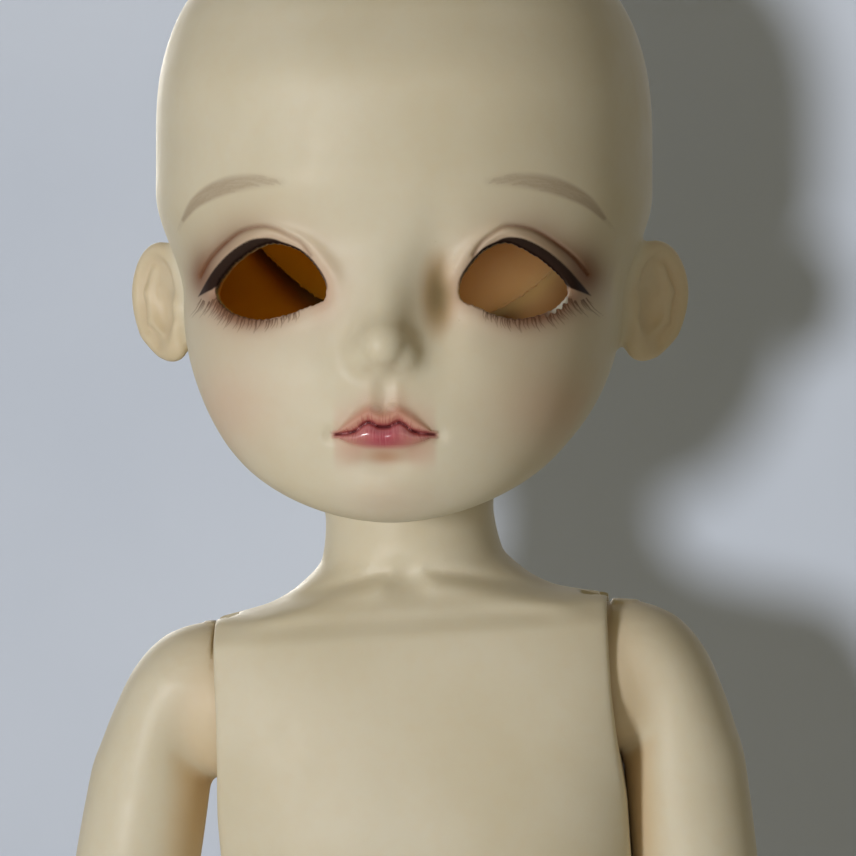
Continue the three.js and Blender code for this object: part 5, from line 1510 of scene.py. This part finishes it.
def string_arm(name, side):
    shoulder = pivot(f"shoulder_swing_{name}")
    x, elbow, wrist, _ = arm_frame(name)
    inner = -side * (SHOULDER_BALL - CORD_INSET - SEAT_GAP)
    path = [(inner, 0, 0), (-side * 1.1, 0, 0)]
    cord(f"shoulder_cord_{name}", path, placed(shoulder), f"shoulder_cord_{name}")
    path = [(0.16 * elbow[0], 0, 0), *upper_arm_route(elbow), elbow + (0, 0, BORE_RADIUS)]
    cord(f"upper_arm_cord_{name}", rounded(path), placed(shoulder, x), f"upper_arm_{name}")
    path = [wrist * BORE_RADIUS / -wrist[2], forearm(wrist)[1]]
    cord(f"forearm_cord_{name}", path, placed(pivot(f"elbow_bend_{name}"), x), f"forearm_{name}")
    spot = wrist_place(name)
    s_hook(f"wrist_s_hook_{name}", WRIST_WIRE, WRIST_LOOP, HOOK_SPAN, spot, f"wrist_hook_{name}")
    pin(f"wrist_pin_{name}", WRIST_WIRE, WRIST_LOOP, WRIST_BALL, spot, f"hand_{name}", 1)


def string_leg(name, side):
    hip, knee, ankle = (pivot(f"{joint}_{name}") for joint in ("hip_swing", "knee_bend", "ankle_bend"))
    low = (side * HIP_SPREAD, 0, HIP_BALL + CORD_RADIUS + SEAT_GAP)
    high = (side * (CORD_RADIUS + SEAT_GAP), SPINE_SETBACK, WAIST - CORD_RADIUS)
    cord(f"pelvis_cord_{name}", [low, high], placed(hip * (0, 1, 1)), "pelvis")
    cord(f"hip_cord_{name}", [(0, 0, BORE_RADIUS), (0, 0, HIP_BALL)], placed(hip), f"hip_cord_{name}")
    start = (0, 0, -BORE_RADIUS)
    cord(f"thigh_cord_{name}", [start, knee - hip + (0, 0, BORE_RADIUS)], placed(hip), f"thigh_{name}")
    cord(f"shin_cord_{name}", [start, shin(ankle - knee)[1]], placed(knee), f"shin_{name}")
    s_hook(f"ankle_s_hook_{name}", ANKLE_WIRE, ANKLE_LOOP, HOOK_SPAN, placed(ankle), f"ankle_hook_{name}", 1)
    pin(f"ankle_pin_{name}", ANKLE_WIRE, ANKLE_LOOP, ANKLE_BALL, placed(ankle), f"foot_{name}", 0)


make_head()
make_torso()
for side_name, side_sign in SIDES.items():
    make_arm(side_name, side_sign)
    make_leg(side_name, side_sign)
make_stringing()

# Studio

def studio_material(name, colour, pale):
    material, tree, shader = nodes_of(name)
    where = add(tree, "ShaderNodeTexCoord").outputs["Object"]
    cloud = remap(tree, noise(tree, where, 14, 3), 0.3, 0.7, 0, 1)
    feed(shader, "Base Color", mixed(tree, cloud, colour, pale))
    shader.inputs["Roughness"].default_value = 0.9
    shader.inputs["Specular IOR Level"].default_value = 0.1
    return material, tree, shader


def plane(name, corners, material):
    mesh = bpy.data.meshes.new(name)
    mesh.from_pydata(corners, [], [(0, 1, 2, 3)])
    mesh.materials.append(material)
    piece = bpy.data.objects.new(name, mesh)
    bpy.context.scene.collection.objects.link(piece)
    return piece


# Farther back than any limb swings
WALL_BEHIND, STAGE_REACH = 0.13, 2
paper, *_ = studio_material("studio_floor", linear(214, 217, 220), linear(222, 224, 226))
far = STAGE_REACH
plane("floor", [(-far, -far, 0), (far, -far, 0), (far, far, 0), (-far, far, 0)], paper)
paper, tree, shader = studio_material("studio_wall", linear(206, 216, 232), linear(214, 223, 238))
# The wall can be looked through from behind, so that it never hides the doll's back
clear = add(tree, "ShaderNodeBsdfTransparent")
facing_node = add(tree, "ShaderNodeNewGeometry").outputs["Backfacing"]
one_sided = add(tree, "ShaderNodeMixShader", {0: facing_node, 1: shader.outputs[0], 2: clear.outputs[0]})
feed(tree.nodes["Material Output"], "Surface", one_sided.outputs[0])
corners = [(-far, WALL_BEHIND, 0), (far, WALL_BEHIND, 0), (far, WALL_BEHIND, far), (-far, WALL_BEHIND, far)]
wall = plane("wall", corners, paper)
# It takes the shadow and nothing more, so that it changes no light on the doll
wall.visible_diffuse = wall.visible_glossy = wall.visible_transmission = wall.visible_shadow = False

head_centre = HEAD_PLACE @ Vector((0, 0, HEAD_HEIGHT / 2))
head_up = (HEAD_PLACE.to_3x3() @ Vector((0, 0, 1))).normalized()


def toward(azimuth, elevation):
    """A direction by its degrees to the doll's left of straight in front, and upwards."""
    azimuth, elevation = np.radians([azimuth, elevation])
    flat = np.cos(elevation)
    return Vector((np.sin(azimuth) * flat, -np.cos(azimuth) * flat, np.sin(elevation)))


def aimed(obj, place, target, up):
    back = (place - target).normalized()
    right = up.cross(back).normalized()
    turn = Matrix((right, back.cross(right), back)).transposed()
    obj.matrix_world = Matrix.Translation(place) @ turn.to_4x4()


def lamp(name, distance, azimuth, elevation, size, power, colour):
    data = bpy.data.lights.new(name, "AREA")
    data.shape, data.size, data.energy, data.color = "DISK", size, power, colour
    light = bpy.data.objects.new(name, data)
    bpy.context.scene.collection.objects.link(light)
    aimed(light, head_centre + distance * toward(azimuth, elevation), head_centre, Vector((0, 0, 1)))
    return light


def wall_link(light, state):
    """Lets a lamp light the wall alone, or all but the wall."""
    group = bpy.data.collections.new(f"{light.name}_link")
    group.objects.link(wall)
    group.collection_objects[0].light_linking.link_state = state
    light.light_linking.receiver_collection = group


WHITE, WARM_WHITE, PALE_WHITE = (1.0, 0.99, 1.0), (1.0, 0.9, 0.7), (1.0, 0.96, 0.88)
key = lamp("key", distance=0.7, azimuth=-28.5, elevation=-1, size=0.12, power=2.55, colour=WHITE)
# The wall has a lamp of its own, so that the shadow falls as near the head as on a wall close behind it
wash = lamp("wash", distance=0.465, azimuth=-6.3, elevation=-2.8, size=0.04, power=1.85, colour=WHITE)
wall_link(key, "EXCLUDE")
wall_link(wash, "INCLUDE")
lamp("fill", distance=0.8, azimuth=26, elevation=3, size=0.16, power=0.27, colour=WARM_WHITE)
lamp("back", distance=0.8, azimuth=-160, elevation=12, size=0.3, power=1.4, colour=PALE_WHITE)

# The air's light, and what the camera and reflections see of it
AIR_LIGHT, AIR_WARM = 0.125, (1.0, 0.86, 0.52)
AIR_SEEN, AIR_PALE = 0.5, (0.86, 0.89, 0.93)
world = bpy.data.worlds.new("studio_air")
bpy.context.scene.world = world
world.use_nodes = True
air = world.node_tree
sky = air.nodes["Background"]
rays = add(air, "ShaderNodeLightPath").outputs
seen = rays["Is Camera Ray"]
for kind in ("Is Glossy Ray", "Is Transmission Ray"):
    seen = add(air, "ShaderNodeMath", {0: seen, 1: rays[kind]}, operation="MAXIMUM").outputs[0]
feed(sky, "Color", mixed(air, seen, AIR_WARM, AIR_PALE))
feed(sky, "Strength", remap(air, seen, 0, 1, AIR_LIGHT, AIR_SEEN))

VIEW_AZIMUTH, VIEW_ELEVATION, VIEW_DISTANCE, VIEW_FIELD = 4.0, -0.5, 0.42, 0.0899
VIEW_ASIDE, VIEW_DROP, SENSOR_WIDTH = 0.0025, 0.0222, 36
aim = head_centre + Vector((VIEW_ASIDE, 0, 0)) - head_up * VIEW_DROP
camera_data = bpy.data.cameras.new("camera")
camera_data.sensor_width = SENSOR_WIDTH
camera_data.lens = SENSOR_WIDTH * VIEW_DISTANCE / VIEW_FIELD
camera_data.clip_start = 0.01
camera = bpy.data.objects.new("camera", camera_data)
bpy.context.scene.collection.objects.link(camera)
aimed(camera, aim + VIEW_DISTANCE * toward(VIEW_AZIMUTH, VIEW_ELEVATION), aim, head_up)
bpy.context.scene.camera = camera
bpy.context.scene.view_settings.view_transform = "Standard"
